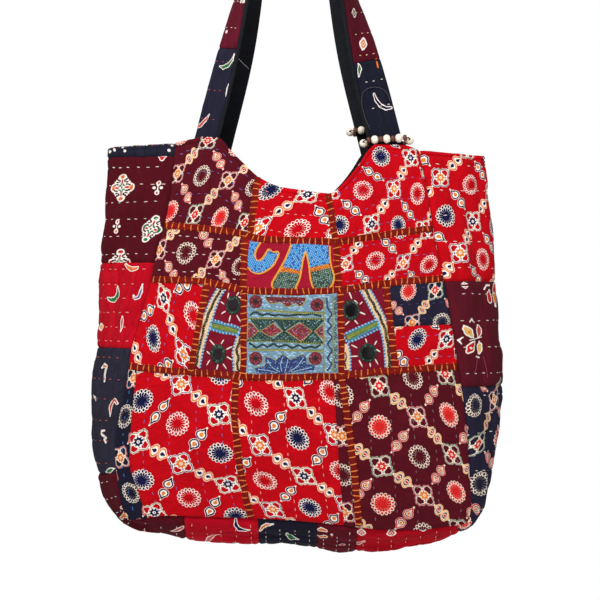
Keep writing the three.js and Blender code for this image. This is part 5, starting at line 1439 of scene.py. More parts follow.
# ------------------------------------------------------------------ bead rings
BEAD = dict(radius=4.3, half=3.9, hole=1.05, disc=3.2, disc_half=1.8, thread=0.6)
RING = dict(side=20.9, end=4.0, corner=2.4)
RINGS = [("front_bead", "front_strap", 0.4, 2.2, 5.0, 3.0), ("back_bead", "back_strap", 13.0, 1.0, 2.0, 1.5)]
BEAD_AT = [0, 16.45, 28.65, 40.85]
DISC_AT = [10.25, 22.55, 34.75, 47.05]


def bone_material():
    m, nt, sh = principled("bone")
    tc = nt.nodes.new("ShaderNodeTexCoord")
    no = nt.nodes.new("ShaderNodeTexNoise")
    no.inputs["Scale"].default_value = 260.0
    no.inputs["Detail"].default_value = 4.0
    nt.links.new(tc.outputs["Object"], no.inputs["Vector"])
    rp = nt.nodes.new("ShaderNodeValToRGB")
    rp.color_ramp.elements[0].position, rp.color_ramp.elements[0].color = 0.3, lin(236, 222, 192)
    rp.color_ramp.elements[1].position, rp.color_ramp.elements[1].color = 0.62, lin(255, 250, 236)
    nt.links.new(no.outputs[0], rp.inputs[0])
    nt.links.new(rp.outputs[0], sh.inputs["Base Color"])
    sh.inputs["Roughness"].default_value = 0.42
    return m


def wood_material():
    m, nt, sh = principled("spacer_wood")
    tc = nt.nodes.new("ShaderNodeTexCoord")
    no = nt.nodes.new("ShaderNodeTexNoise")
    no.inputs["Scale"].default_value = 900.0
    nt.links.new(tc.outputs["Object"], no.inputs["Vector"])
    rp = nt.nodes.new("ShaderNodeValToRGB")
    rp.color_ramp.elements[0].color = lin(58, 24, 14)
    rp.color_ramp.elements[1].color = lin(124, 62, 36)
    nt.links.new(no.outputs[0], rp.inputs[0])
    nt.links.new(rp.outputs[0], sh.inputs["Base Color"])
    sh.inputs["Roughness"].default_value = 0.4
    return m


def ring_place(run, foot, shift, behind, leftward):
    cq = math.pi / 2 * RING["corner"]
    half = 2 * (RING["end"] + cq + RING["side"])
    wide, deep = RING["side"] + RING["corner"], RING["end"] + RING["corner"]
    r = run % (2 * half)
    front = r < half
    along = r if front else 2 * half - r
    right = along < half / 2
    k = along if right else half - along
    if k < RING["end"]:
        w, n = wide, k
    elif k > RING["end"] + cq:
        w, n = RING["side"] - (k - RING["end"] - cq), deep
    else:
        t = (k - RING["end"]) / RING["corner"]
        w, n = RING["side"] + math.cos(t) * RING["corner"], RING["end"] + math.sin(t) * RING["corner"]
    w = w if right else -w
    n = n if front else -n
    z = foot[2] - behind * (0.5 - n / (2 * deep)) - leftward * (0.5 - w / (2 * wide))
    return np.array([foot[0] + shift + w, foot[1] - n, z]), half


def turned(profile, centre, axis, segments, closed):
    """A profile of (radius, height) turned about an axis through centre."""
    axis = axis / np.linalg.norm(axis)
    e1 = np.cross(axis, [0, 0, 1.0])
    e1 /= np.linalg.norm(e1)
    e2 = np.cross(axis, e1)
    v, f = [], []
    n = len(profile)
    for i in range(segments):
        an = 2 * math.pi * i / segments
        d = e1 * math.cos(an) + e2 * math.sin(an)
        v.extend([centre + d * r + axis * h for r, h in profile])
    for i in range(segments):
        i2 = (i + 1) % segments
        for j in range(n if closed else n - 1):
            j2 = (j + 1) % n
            f.append((i * n + j, i * n + j2, i2 * n + j2, i2 * n + j))
    if not closed:
        f.append(tuple(i * n for i in range(segments)))
        f.append(tuple(i * n + n - 1 for i in range(segments))[::-1])
    return v, f


BONE, WOOD = bone_material(), wood_material()
rng = np.random.RandomState(8)
for name, strap, above, shift, behind, leftward in RINGS:
    length, at = strap_lines[strap]
    foot = at(np.array([length - STRAP["tuck"] - above]))[0][0]
    spot = lambda run: ring_place(run, foot, shift, behind, leftward)[0]
    half = ring_place(0, foot, shift, behind, leftward)[1]
    for i, run in enumerate(BEAD_AT + [r + half for r in BEAD_AT]):
        c, ax = spot(run), spot(run + 0.01) - spot(run - 0.01)
        big = rng.uniform(0.97, 1.03)
        prof = []
        reach = math.acos((BEAD["hole"] + 0.5) / BEAD["radius"])
        for t in np.linspace(-reach, reach, 15):
            prof.append((math.cos(t) ** 0.92 * BEAD["radius"] * big, math.sin(t) * BEAD["half"]))
        prof += [(BEAD["hole"] + 0.12, prof[-1][1] - 0.25), (BEAD["hole"], 1.5), (BEAD["hole"], -1.5), (BEAD["hole"] + 0.12, prof[0][1] + 0.25)]
        v, f = turned(prof, c, ax, 28, True)
        me = bpy.data.meshes.new(f"{name}_{i + 1}")
        me.from_pydata((np.array(v) * MM).tolist(), [], f)
        me.polygons.foreach_set("use_smooth", np.ones(len(f), bool))
        me.materials.append(BONE)
        link(me, f"{name}_{i + 1}_bone", f"{name}_{i + 1}")
    V_, F_, M_ = [], [], []
    for run in DISC_AT + [r + half for r in DISC_AT]:
        c, ax = spot(run), spot(run + 0.01) - spot(run - 0.01)
        r_, h_ = BEAD["disc"] * rng.uniform(0.96, 1.03), BEAD["disc_half"]
        prof = [(0.3, -h_), (r_ - 0.8, -h_), (r_ - 0.3, -h_ * 0.8), (r_, -h_ * 0.35), (r_, h_ * 0.35), (r_ - 0.3, h_ * 0.8), (r_ - 0.8, h_), (0.3, h_)]
        v, f = turned(prof, c, ax, 20, False)
        F_ += [tuple(len(V_) + q for q in face_) for face_ in f]
        M_ += [0] * len(f)
        V_ += v
    runs = np.linspace(0, 2 * half, 160, endpoint=False)
    ctr = np.array([spot(r) for r in runs])
    tan = np.roll(ctr, -1, 0) - np.roll(ctr, 1, 0)
    tan /= np.linalg.norm(tan, axis=1, keepdims=True)
    base, k = len(V_), 8
    for i in range(len(runs)):
        sd = np.cross(tan[i], [0, 0, 1.0])
        sd /= np.linalg.norm(sd)
        up = np.cross(sd, tan[i])
        tw = i * 0.5
        for j in range(k):
            an = 2 * math.pi * j / k
            rad = BEAD["thread"] * (0.86 + 0.14 * math.cos(2 * (an - tw)))
            V_.append(ctr[i] + sd * math.cos(an) * rad + up * math.sin(an) * rad)
    for i in range(len(runs)):
        i2 = (i + 1) % len(runs)
        for j in range(k):
            j2 = (j + 1) % k
            F_.append((base + i * k + j, base + i2 * k + j, base + i2 * k + j2, base + i * k + j2))
            M_.append(1)
    me = bpy.data.meshes.new(name + "_thread_spacers")
    me.from_pydata((np.array(V_) * MM).tolist(), [], F_)
    me.materials.append(WOOD)
    me.materials.append(THREADS["ink"])
    me.polygons.foreach_set("material_index", np.array(M_, np.int32))
    me.polygons.foreach_set("use_smooth", np.ones(len(F_), bool))
    link(me, name + "_thread_spacers_turned", name + "_thread_spacers")

# ------------------------------------------------------------------ embroidery
sewn = {}
rng = np.random.RandomState(77)


def sketch(ox, oy, k):
    """Drawing coordinates of one embroidered patch, as pixels."""
    return lambda pts: [(ox + x / k, oy + y / k) for x, y in pts]


def sew(slot, thread, a, b, width=1.0, height=0.6):
    sewn.setdefault((slot, thread), []).append((a, b, width, height))


def walk(pts, step):
    pts = np.array(pts, float)
    d = np.concatenate([[0], np.cumsum(np.linalg.norm(np.diff(pts, axis=0), axis=1))])
    n = max(1, int(round(d[-1] / step)))
    q = np.linspace(0, d[-1], n + 1)
    return np.stack([np.interp(q, d, pts[:, 0]), np.interp(q, d, pts[:, 1])], 1)


def rounded(pts, times=2):
    """A polyline with its corners cut."""
    pts = np.array(pts, float)
    for _ in range(times):
        q = [pts[0]]
        for a, b in zip(pts[:-1], pts[1:]):
            q += [a * 0.75 + b * 0.25, a * 0.25 + b * 0.75]
        q.append(pts[-1])
        pts = np.array(q)
    return pts


def line(slot, thread, pts, width=1.2, height=0.8, step=2.3, soft=True):
    w = walk(rounded(pts) if soft else pts, step)
    for a, b in zip(w[:-1], w[1:]):
        o = (b - a) * 0.12
        sew(slot, thread, a - o, b + o, width * rng.uniform(0.9, 1.1), height)


def ladder(slot, threads, pts, width=3.0, step=1.7, lean=0.7, height=0.75, thick=1.5):
    """Short stitches side by side across a line, as in a satin or blanket edge."""
    w = walk(rounded(pts), step)
    t = np.gradient(w, axis=0)
    t /= np.maximum(np.linalg.norm(t, axis=1, keepdims=True), 1e-9)
    for i, (c, d) in enumerate(zip(w, t)):
        n = np.array([-d[1], d[0]])
        sew(slot, threads[i % len(threads)], c + n * width / 2 + d * lean, c - n * width / 2 - d * lean, thick, height)


def inside(poly, p):
    x, y = p
    c = False
    for (x1, y1), (x2, y2) in zip(poly, np.roll(poly, -1, 0)):
        if (y1 > y) != (y2 > y) and x < (x2 - x1) * (y - y1) / (y2 - y1) + x1:
            c = not c
    return c


def fill(slot, threads, poly, angle, gap=1.25, seg=3.2, width=1.15, height=0.7, lap=(0.85, 1.0)):
    """A shape covered with short straight stitches, laid like bricks."""
    poly = np.array(poly, float)
    c, s = math.cos(math.radians(angle)), math.sin(math.radians(angle))
    rot = np.array([[c, s], [-s, c]])
    q = poly @ rot.T
    y = q[:, 1].min() + gap * 0.5
    row = 0
    while y < q[:, 1].max():
        xs = []
        for (x1, y1), (x2, y2) in zip(q, np.roll(q, -1, 0)):
            if (y1 > y) != (y2 > y):
                xs.append((x2 - x1) * (y - y1) / (y2 - y1) + x1)
        xs.sort()
        for x0, x1 in zip(xs[::2], xs[1::2]):
            x = x0 - (row % 2) * seg * 0.5
            while x < x1:
                a, b = max(x, x0), min(x + seg * rng.uniform(*lap), x1)
                if b - a > 0.7:
                    k = rng.uniform(-0.2, 0.2)
                    sew(slot, threads[rng.randint(len(threads))], np.array([a, y + k]) @ rot, np.array([b, y - k]) @ rot, width, height * rng.uniform(0.8, 1.15))
                x += seg
        y += gap
        row += 1


def worked(slot, under, threads, poly, angle, gap=1.3, seg=2.0, width=0.95, height=0.85):
    """A shape laid with broad flat stitches and worked over with short ones."""
    fill(slot, [under], poly, angle + 90, 1.1, 5.0, 2.6, 0.42, (1.12, 1.2))
    fill(slot, threads, poly, angle, gap, seg, width, height)


def toothed(slot, pts, width=3.4):
    """A black wave of close slanting stitches with small gold dots along it."""
    w = walk(rounded(pts, 1), 1.2)
    t = np.gradient(w, axis=0)
    t /= np.maximum(np.linalg.norm(t, axis=1, keepdims=True), 1e-9)
    for i, (c, d) in enumerate(zip(w, t)):
        n = np.array([-d[1], d[0]])
        sew(slot, "ink", c + n * width / 2 + d * 0.7, c - n * width / 2 - d * 0.7, 2.1, 1.05)
        if i % 2:
            q = c + n * (0.6 if i % 4 == 1 else -0.6)
            sew(slot, "gold", q + np.array([-0.5, 0.25]), q + np.array([0.5, -0.25]), 0.7, 1.75)


CR, BL = "crimson_embroidery", "blue_embroidery"
# legs and trunk, blue with orange outlines and grey-green feet
S = sketch(240, 230, 14.93)
trunk = S([(150, 172), (290, 188), (250, 255), (215, 350), (222, 430), (265, 465), (320, 437), (370, 370), (425, 272), (480, 345), (570, 315),
           (572, 365), (540, 440), (500, 515), (420, 585), (330, 632), (240, 645), (165, 615), (120, 550), (115, 440), (130, 300)])
worked(CR, "blue", ["sky", "azure", "azure", "deep", "azure", "sky"], trunk, 62, 1.75, 1.9, 1.15)
thigh_l = S([(770, 215), (1000, 205), (970, 325), (940, 400), (915, 520), (900, 605), (640, 552), (700, 390)])
thigh_r = S([(1000, 205), (1320, 240), (1325, 360), (1335, 500), (1045, 562), (1020, 440), (1000, 350), (970, 325)])
worked(CR, "blue", ["sky", "azure", "azure", "deep", "azure", "sky"], thigh_l, 60, 1.75, 1.9, 1.15)
worked(CR, "blue", ["sky", "azure", "azure", "deep", "azure", "sky"], thigh_r, 112, 1.75, 1.9, 1.15)
foot_l = S([(590, 622), (885, 662), (860, 780), (805, 878), (535, 880), (485, 850), (505, 790), (550, 700)])
foot_r = S([(1062, 632), (1345, 558), (1395, 680), (1395, 760), (1350, 825), (1270, 875), (1130, 880), (1092, 820), (1068, 720)])
worked(CR, "bracken", ["sage", "grey_green", "sage", "pine", "sage", "sky"], foot_l, 70, 1.75, 1.9, 1.05)
worked(CR, "bracken", ["sage", "grey_green", "sage", "pine", "sage", "sky"], foot_r, 100, 1.75, 1.9, 1.05)
cuff_l = S([(600, 570), (640, 552), (900, 608), (890, 660), (590, 622)])
cuff_r = S([(1048, 568), (1335, 500), (1348, 556), (1060, 632)])
fill(CR, ["amber", "orange"], cuff_l, 10, 1.1, 2.6, 1.2, 0.85)
fill(CR, ["amber", "orange"], cuff_r, -13, 1.1, 2.6, 1.2, 0.85)
for pts in ([(305, 182), (255, 255), (215, 350), (225, 430), (265, 465), (320, 437), (370, 370), (428, 262), (480, 342), (575, 308), (575, 365), (540, 445),
             (500, 522), (420, 592), (330, 642), (240, 656), (160, 622), (115, 552)],
            [(762, 212), (700, 380), (600, 570), (510, 720), (465, 800), (478, 860), (530, 886)],
            [(970, 318), (930, 460), (910, 600), (890, 720), (852, 800), (820, 884)],
            [(970, 318), (1010, 430), (1030, 560), (1040, 700), (1070, 830), (1110, 890)],
            [(1337, 240), (1335, 400), (1350, 520), (1385, 620), (1405, 720), (1372, 820), (1320, 882)]):
    line(CR, "amber", S(pts), 1.3, 1.1, 1.7)
    line(CR, "amber", [(x + 0.8, y + 0.5) for x, y in S(pts)], 1.1, 1.0, 1.7)
    line(CR, "gold", [(x + 0.4, y + 0.2) for x, y in S(pts)], 0.6, 1.2, 1.9)


def mirror_work(slot, c, rx, ry, rays, seed, eye):
    """A small round mirror held by a worked ring of thread, with straight rays."""
    r = np.random.RandomState(seed)
    for i in range(46):
        an = 2 * math.pi * i / 46 + r.uniform(-0.04, 0.04)
        d = np.array([math.cos(an), math.sin(an)])
        lo, hi = eye + r.uniform(-0.05, 0.05), r.uniform(0.94, 1.06)
        e = np.array([rx, ry])
        sl = np.array([-d[1], d[0]]) * r.uniform(0.2, 0.9)
        sew(slot, ("pine", "green", "pine", "ink", "ink", "green_light")[r.randint(6)], c + d * e * lo - sl * 0.4, c + d * e * hi + sl, 1.25, 1.0)
    for k, th in ((eye + 0.01, "ink"), (eye * 0.5 + 0.49, "pine"), (0.97, "ink")):
        pts = [(c[0] + rx * k * math.cos(t), c[1] + ry * k * math.sin(t)) for t in np.linspace(0, 2 * math.pi, 30)]
        line(slot, th, pts, 1.1, 1.25, 2.4, soft=False)
    for a, b in rays:
        line(slot, "white", [a, b], 1.45, 0.8, 9.0, soft=False)


# left mirror patch
S = sketch(195, 280, 15.68)
band_left = S([(350, 140), (240, 320), (170, 500), (110, 650), (92, 760), (72, 880), (45, 1000), (20, 1130)])
band_right = S([(470, 160), (400, 250), (330, 430), (280, 580), (240, 680), (225, 760), (190, 880), (150, 1000), (110, 1180), (75, 1370)])
wave = S([(410, 150), (345, 262), (300, 330), (262, 440), (210, 520), (190, 620), (140, 720), (125, 850), (92, 950), (72, 1050), (38, 1160), (44, 1240), (20, 1330)])
worked(CR, "straw", ["cream", "straw"], band_left + S([(20, 1340), (60, 1370)]) + band_right[::-1], 0)
ladder(CR, ["sky", "blue"], band_left, 2.4)
ladder(CR, ["sky", "blue"], band_right, 2.4)
toothed(CR, wave)
worked(CR, "olive", ["olive", "lime", "olive"], S([(275, 675), (665, 775), (650, 845), (265, 745)]), 14, 1.2, 2.6)
for pts in ([(278, 657), (420, 694), (540, 722), (672, 757)], [(262, 763), (400, 800), (520, 830), (650, 863)]):
    line(CR, "teal", S(pts), 2.1, 0.7, 2.0)
ladder(CR, ["sky", "blue"], S([(270, 622), (400, 660), (480, 698), (560, 694), (640, 730), (722, 762)]), 2.4)
ladder(CR, ["sky", "blue"], S([(240, 772), (340, 800), (450, 838), (550, 834), (640, 872), (700, 800)]), 2.4)
ladder(CR, ["azure", "lagoon", "sky"], S([(258, 632), (244, 772)]), 2.2)
ladder(CR, ["azure", "lagoon", "sky"], S([(702, 768), (676, 862)]), 2.2)
lower_r = S([(665, 880), (622, 1000), (592, 1130), (600, 1280), (610, 1430)])
worked(CR, "straw", ["cream", "straw"], lower_r + S([(720, 1430), (725, 1280), (722, 1130), (722, 1000), (722, 890)]), 0)
ladder(CR, ["sky", "blue"], lower_r, 2.4)
toothed(CR, S([(712, 895), (690, 1000), (642, 1110), (692, 1220), (655, 1320), (682, 1420)]))
MIRRORS = []
pair = lambda pts: [(np.array(a), np.array(b)) for a, b in zip(S(pts)[::2], S(pts)[1::2])]
m1, m2 = np.array(S([(603, 395)])[0]), np.array(S([(360, 1160)])[0])
mirror_work(CR, m1, 7.4, 9.3, pair([(530, 200), (512, 290), (690, 190), (650, 250), (738, 292), (680, 262), (405, 340), (455, 380), (415, 530), (480, 490),
                                    (555, 560), (535, 655), (655, 555), (712, 655)]), 1, 0.68)
mirror_work(CR, m2, 7.6, 9.6, pair([(235, 945), (310, 1030), (450, 940), (410, 1002), (490, 1090), (582, 1045), (185, 1118), (235, 1165), (230, 1260), (185, 1335),
                                    (362, 1325), (338, 1405), (440, 1315), (492, 1392), (500, 1205), (582, 1252)]), 2, 0.58)
MIRRORS += [(m1, 5.8, 7.2), (m2, 5.2, 6.6)]
# right mirror patch
S = sketch(330, 275, 14.93)
band_left = S([(425, 185), (500, 310), (560, 420), (620, 540), (680, 640), (720, 700), (750, 800), (790, 950), (810, 1100), (825, 1250), (830, 1380)])
band_right = S([(555, 160), (640, 290), (720, 440), (780, 560), (835, 680)])
wave = S([(490, 170), (560, 262), (585, 350), (655, 430), (680, 525), (742, 600), (768, 700), (825, 800), (835, 920), (868, 1040), (872, 1160), (892, 1270), (880, 1380)])
worked(CR, "straw", ["cream", "straw"], band_left + S([(900, 1380), (892, 1160), (862, 920), (845, 760)]) + band_right[::-1], 0)
ladder(CR, ["sky", "blue"], band_left, 2.5)
ladder(CR, ["sky", "blue"], band_right, 2.5)
toothed(CR, wave)
worked(CR, "olive", ["olive", "lime", "olive"], S([(240, 905), (690, 698), (715, 745), (268, 975)]), -26, 1.2, 2.6)
for pts in ([(232, 890), (460, 785), (684, 683)], [(276, 990), (500, 875), (722, 762)]):
    line(CR, "teal", S(pts), 2.1, 0.7, 2.0)
ladder(CR, ["sky", "blue"], S([(205, 890), (340, 820), (520, 740), (700, 665)]), 2.4)
ladder(CR, ["sky", "blue"], S([(205, 890), (225, 960), (260, 1012), (400, 962), (560, 890), (745, 792)]), 2.4)
ladder(CR, ["azure", "lagoon", "azure"], S([(712, 672), (728, 735), (745, 792)]), 3.0)
lower_l = S([(265, 1025), (290, 1120), (305, 1250), (305, 1420)])
worked(CR, "straw", ["cream", "straw"], lower_l + S([(225, 1420), (215, 1250), (212, 1120), (215, 1030)]), 0)
ladder(CR, ["sky", "blue"], lower_l, 2.4)
line(CR, "ink", S([(228, 1150), (246, 1220), (224, 1310), (240, 1400)]), 1.8, 1.0, 2.2, soft=False)
m3, m4 = np.array(S([(312, 527)])[0]), np.array(S([(562, 1163)])[0])
mirror_work(CR, m3, 8.6, 9.9, pair([(285, 255), (325, 355), (362, 378), (412, 425), (482, 402), (445, 440), (445, 555), (525, 590), (288, 690), (228, 748),
                                    (365, 675), (418, 732)]), 3, 0.68)
mirror_work(CR, m4, 8.9, 9.3, pair([(530, 950), (550, 1012), (697, 983), (665, 1045), (320, 1045), (405, 1087), (688, 1112), (748, 1146), (318, 1216), (415, 1212),
                                    (435, 1275), (482, 1368), (594, 1315), (605, 1372), (672, 1255), (716, 1332)]), 4, 0.68)
MIRRORS += [(m3, 6.7, 7.7), (m4, 6.9, 7.2)]
# centre patch, worked on light blue
S = sketch(240, 285, 14.93)
fill(BL, ["mist", "sky", "mist"], S([(120, 130), (1450, 150), (1450, 1300), (120, 1330)]), 4, 1.7, 4.2, 1.5, 0.4)
worked(BL, "garnet", ["wine", "garnet", "crimson", "rosewood"], S([(380, 172), (980, 182), (960, 250), (900, 322), (810, 270), (700, 332), (620, 252), (430, 278)]), 15)
line(BL, "lime", S([(370, 172), (425, 288), (620, 262), (700, 345), (810, 282), (905, 335), (970, 255), (1000, 182)]), 1.1, 0.8, 2.0)
for pts in ([(250, 372), (480, 380), (700, 400), (900, 410), (1240, 412)], [(125, 500), (500, 490), (800, 502), (1250, 500)],
            [(125, 832), (480, 826), (800, 850), (1240, 872)], [(125, 958), (480, 966), (850, 968), (1235, 985)],
            [(1248, 180), (1252, 500), (1244, 900), (1252, 1290)], [(1392, 180), (1388, 500), (1394, 900), (1388, 1300)]):
    line(BL, "khaki", S(pts), 1.9, 0.7, 2.6)
    line(BL, "lime", [(x + 0.2, y + 0.9) for x, y in S(pts)], 1.1, 0.8, 2.6)
line(BL, "pine", S([(155, 455), (200, 408), (260, 402), (325, 462), (380, 432), (440, 428), (500, 465), (560, 440), (640, 452), (720, 458), (800, 448), (900, 438), (980, 452),
                    (1060, 420), (1170, 455), (1215, 465)]), 2.4, 0.9, 2.0)
line(BL, "pine", S([(135, 862), (250, 942), (340, 880), (410, 932), (500, 872), (575, 925), (680, 890), (780, 942), (880, 890), (960, 945), (1060, 912), (1125, 942), (1205, 888)]), 2.4, 0.9, 2.0, soft=False)
for poly in ([(175, 518), (530, 520), (300, 676)], [(530, 522), (885, 528), (660, 680)], [(885, 528), (1240, 516), (1095, 680)],
             [(122, 832), (510, 830), (292, 700)], [(490, 838), (885, 850), (660, 698)], [(935, 856), (1235, 866), (1092, 700)]):
    mid = np.mean(poly, axis=0)
    poly = [tuple(mid + (np.array(q) - mid) * 1.09) for q in poly]
    worked(BL, "pine", ["pine", "green", "moss", "green", "green_light", "pine"], S(poly), 78, 1.4, 2.6)
    line(BL, "pine", S(poly + poly[:1]), 1.3, 0.9, 2.4, soft=False)
for poly in ([(112, 560), (165, 558), (285, 690), (150, 806), (112, 800)], [(300, 690), (500, 568), (632, 690), (462, 780)],
             [(690, 690), (900, 556), (1082, 690), (920, 852)], [(1108, 690), (1245, 580), (1268, 840)]):
    worked(BL, "wine", ["rosewood", "garnet", "wine", "coral", "crimson"], S(poly), 24)
    line(BL, "lime", S(poly + poly[:1]), 1.1, 0.9, 2.2, soft=False)
for cx, cy in ((235, 250), (1150, 297), (235, 1095), (1125, 1097)):
    c = np.array(S([(cx, cy)])[0])
    fill(BL, ["garnet"], [(c[0] + 6.2 * math.cos(t), c[1] + 6.2 * math.sin(t)) for t in np.linspace(0, 2 * math.pi, 20)[:-1]], 30, 1.1, 5.0, 2.4, 0.42, (1.12, 1.2))
    for ring_r, th, n in ((4.9, ["wine", "garnet", "crimson", "wine", "garnet"], 30), (2.9, ["garnet", "wine", "ink"], 18)):
        for i in range(n):
            an = 2 * math.pi * i / n + rng.uniform(-0.06, 0.06)
            d = np.array([math.cos(an), math.sin(an)])
            sew(BL, th[i % len(th)], c + d * (ring_r - 1.5), c + d * (ring_r + 1.4), 1.15, 0.8)
    for i in range(6):
        an = math.pi * i / 6
        d = np.array([math.cos(an), math.sin(an)])
        sew(BL, "ink", c - d * 2.3, c + d * 2.3, 1.1, 1.05)
    line(BL, "wine", [(c[0] + 6.3 * math.cos(t), c[1] + 6.3 * math.sin(t)) for t in np.linspace(0, 2 * math.pi, 24)], 1.1, 0.85, 2.4, soft=False)
    for i in range(8):
        an = math.pi * (i + 0.5) / 4
        d = np.array([math.cos(an), math.sin(an)])
        sew(BL, "coral", c + d * 3.4, c + d * 4.8, 0.8, 1.0)
lotus = S([(220, 1235), (380, 1210), (375, 1055), (460, 1090), (545, 1140), (580, 1060), (645, 1035), (720, 1075), (765, 1130), (850, 1060), (985, 1035), (992, 1185), (1120, 1185),
           (1100, 1270), (860, 1300), (560, 1332), (250, 1312)])
worked(BL, "navy", ["royal", "cobalt", "deep", "royal", "navy", "deep"], lotus, 38, 1.5, 2.4)
for pts in ([(600, 1300), (470, 1230), (405, 1110)], [(625, 1290), (600, 1180), (640, 1075)], [(675, 1290), (700, 1190), (715, 1110)], [(720, 1300), (860, 1220), (950, 1085)],
            [(560, 1310), (400, 1270), (265, 1262)], [(760, 1300), (930, 1262), (1075, 1228)]):
    line(BL, "sky", S(pts), 0.9, 1.15, 2.6)
for pts in ([(545, 1145), (590, 1220), (610, 1310)], [(765, 1135), (740, 1220), (720, 1310)], [(385, 1215), (480, 1262), (590, 1315)], [(985, 1190), (880, 1250), (740, 1312)]):
    line(BL, "navy", S(pts), 1.1, 1.1, 2.4)
line(BL, "lime", S([(212, 1240), (370, 1200), (372, 1050), (460, 1085), (545, 1135), (580, 1055), (645, 1030), (765, 1125), (850, 1055), (990, 1030), (1000, 1180), (1125, 1180)]), 0.9, 0.75, 2.2)
line(BL, "navy", S([(1296, 190), (1300, 330), (1376, 440), (1304, 530), (1368, 610), (1300, 690), (1380, 780), (1300, 880), (1380, 980), (1300, 1090), (1372, 1180), (1300, 1285)]), 1.9, 0.9, 2.2, soft=False)
fill(BL, ["pine", "sage", "moss", "navy"], S([(1400, 165), (1452, 160), (1456, 1290), (1400, 1295)]), 78, 1.2, 2.6)

for (slot, thread), rows in sewn.items():
    P, Q, N, W, H = [], [], [], [], []
    for a, b, w, h in rows:
        ha, hb = by_pixel(*a), by_pixel(*b)
        if ha is None or hb is None:
            continue
        P.append(ha[0]); Q.append(hb[0]); N.append((ha[1] + hb[1]) / np.linalg.norm(ha[1] + hb[1]))
        W.append(w); H.append(h)
    stitch_mesh(f"embroidery_{thread}_{'blue' if slot == BL else 'crimson'}", P, Q, N, np.array(W), np.array(H), THREADS[thread])

# loose thread ends that hang on the cloth
THREADS["ash"] = thread_material("thread_ash", lin(112, 110, 112))
THREADS["soot"] = thread_material("thread_soot", lin(74, 74, 82))
for name, path, grids, thread, slot in (
        ("loose_thread_left", [(235.2, 55.4), (238.4, 58.6), (243, 63.4), (249, 69)], strap_seen["front_strap"], "ash", "black_lining"),
        ("loose_thread_right", [(370.4, 130), (367.5, 124), (364.2, 115.4), (361.4, 102), (361.8, 94), (366, 88.8), (374.5, 86.6), (383, 88.6), (387.8, 94.2), (390.4, 101.5)],
         strap_seen["front_strap"], "soot", "bead_thread_and_spacers"),
        ("loose_thread_gusset_a", [(477.3, 357.5), (476.6, 366), (474.8, 373)], [cloths["gusset_right_maroon"].G], "rosewood", "maroon_print_cotton"),
        ("loose_thread_gusset_b", [(483.4, 356.5), (486.4, 368), (487.8, 377.6)], [cloths["gusset_right_maroon"].G], "rosewood", "maroon_print_cotton")):
    near = np.concatenate([g.reshape(-1, 3) for g in grids])
    pix = to_pixel(near)
    way = walk(rounded(path), 1.5)
    ys = []
    for q in way:
        d = np.hypot(*(pix - q).T)
        ys.append(near[d < max(3.5, d.min() + 1.0), 1].min() - 0.9)
    pad = np.pad(np.array(ys), 3, mode="edge")
    ys = np.array([pad[i:i + 7].mean() for i in range(len(ys))])
    k = (ys - CAM[1]) / REACH
    pts = np.stack([CAM[0] + (way[:, 0] - 300) * k, ys, CAM[2] - (way[:, 1] - 300) * k], 1)
    strand = band_mesh(name, [(pts, np.tile([0.0, -1.0, 0.0], (len(pts), 1)))], [0.5], 0.5, THREADS[thread])
    run = float(np.linalg.norm(np.diff(pts, axis=0), axis=1).sum())
    if run >= 30:
        (pts[0] * MM).tolist()
        run * MM
        (pts * MM).tolist()

# mirrors: domed glass let in under the worked rings, coloured with a painted reflection: near black, with a lighter
# purplish painted sheen on the left pair
glasses = []
for tag, deep, painted_sheen in (("mirror_glass_left", (20, 17, 19), (52, 42, 47)), ("mirror_glass_right", (4, 4, 5), (18, 16, 16))):
    gm, nt, sh = principled(tag)
    tc = nt.nodes.new("ShaderNodeTexCoord")
    no = nt.nodes.new("ShaderNodeTexNoise")
    no.inputs["Scale"].default_value = 160.0
    nt.links.new(tc.outputs["Object"], no.inputs["Vector"])
    rp = nt.nodes.new("ShaderNodeValToRGB")
    # painted reflection: noise mixes the dark tone with the lighter painted sheen
    rp.color_ramp.elements[0].color = lin(*deep)
    rp.color_ramp.elements[1].color = lin(*painted_sheen)
    nt.links.new(no.outputs[0], rp.inputs[0])
    nt.links.new(rp.outputs[0], sh.inputs["Base Color"])
    sh.inputs["Roughness"].default_value = 0.3
    sh.inputs["Specular IOR Level"].default_value = 0.15
    glasses.append(gm)
for i, (c, rx, ry) in enumerate(MIRRORS):
    pos, nrm = by_pixel(*c)
    e1 = np.cross([0, 0, 1.0], nrm)
    e1 /= np.linalg.norm(e1)
    e2 = np.cross(nrm, e1)
    v, f = [], []
    seg, rings = 28, [(1.0, -0.6), (1.0, 0.35), (0.93, 0.62), (0.6, 0.82), (0.25, 0.9)]
    for k, h in rings:
        for j in range(seg):
            an = 2 * math.pi * j / seg
            v.append(pos + e1 * math.cos(an) * rx * k + e2 * math.sin(an) * ry * k + nrm * h)
    v.append(pos + nrm * 0.92)
    for r_ in range(len(rings) - 1):
        for j in range(seg):
            j2 = (j + 1) % seg
            f.append((r_ * seg + j, r_ * seg + j2, (r_ + 1) * seg + j2, (r_ + 1) * seg + j))
    last = (len(rings) - 1) * seg
    f += [(last + j, last + (j + 1) % seg, len(v) - 1) for j in range(seg)]
    f.append(tuple(range(seg))[::-1])
    me = bpy.data.meshes.new(f"mirror_{i + 1}")
    me.from_pydata((np.array(v) * MM).tolist(), [], f)
    me.polygons.foreach_set("use_smooth", np.ones(len(f), bool))
    me.materials.append(glasses[i // 2])
    link(me, f"mirror_{i + 1}")

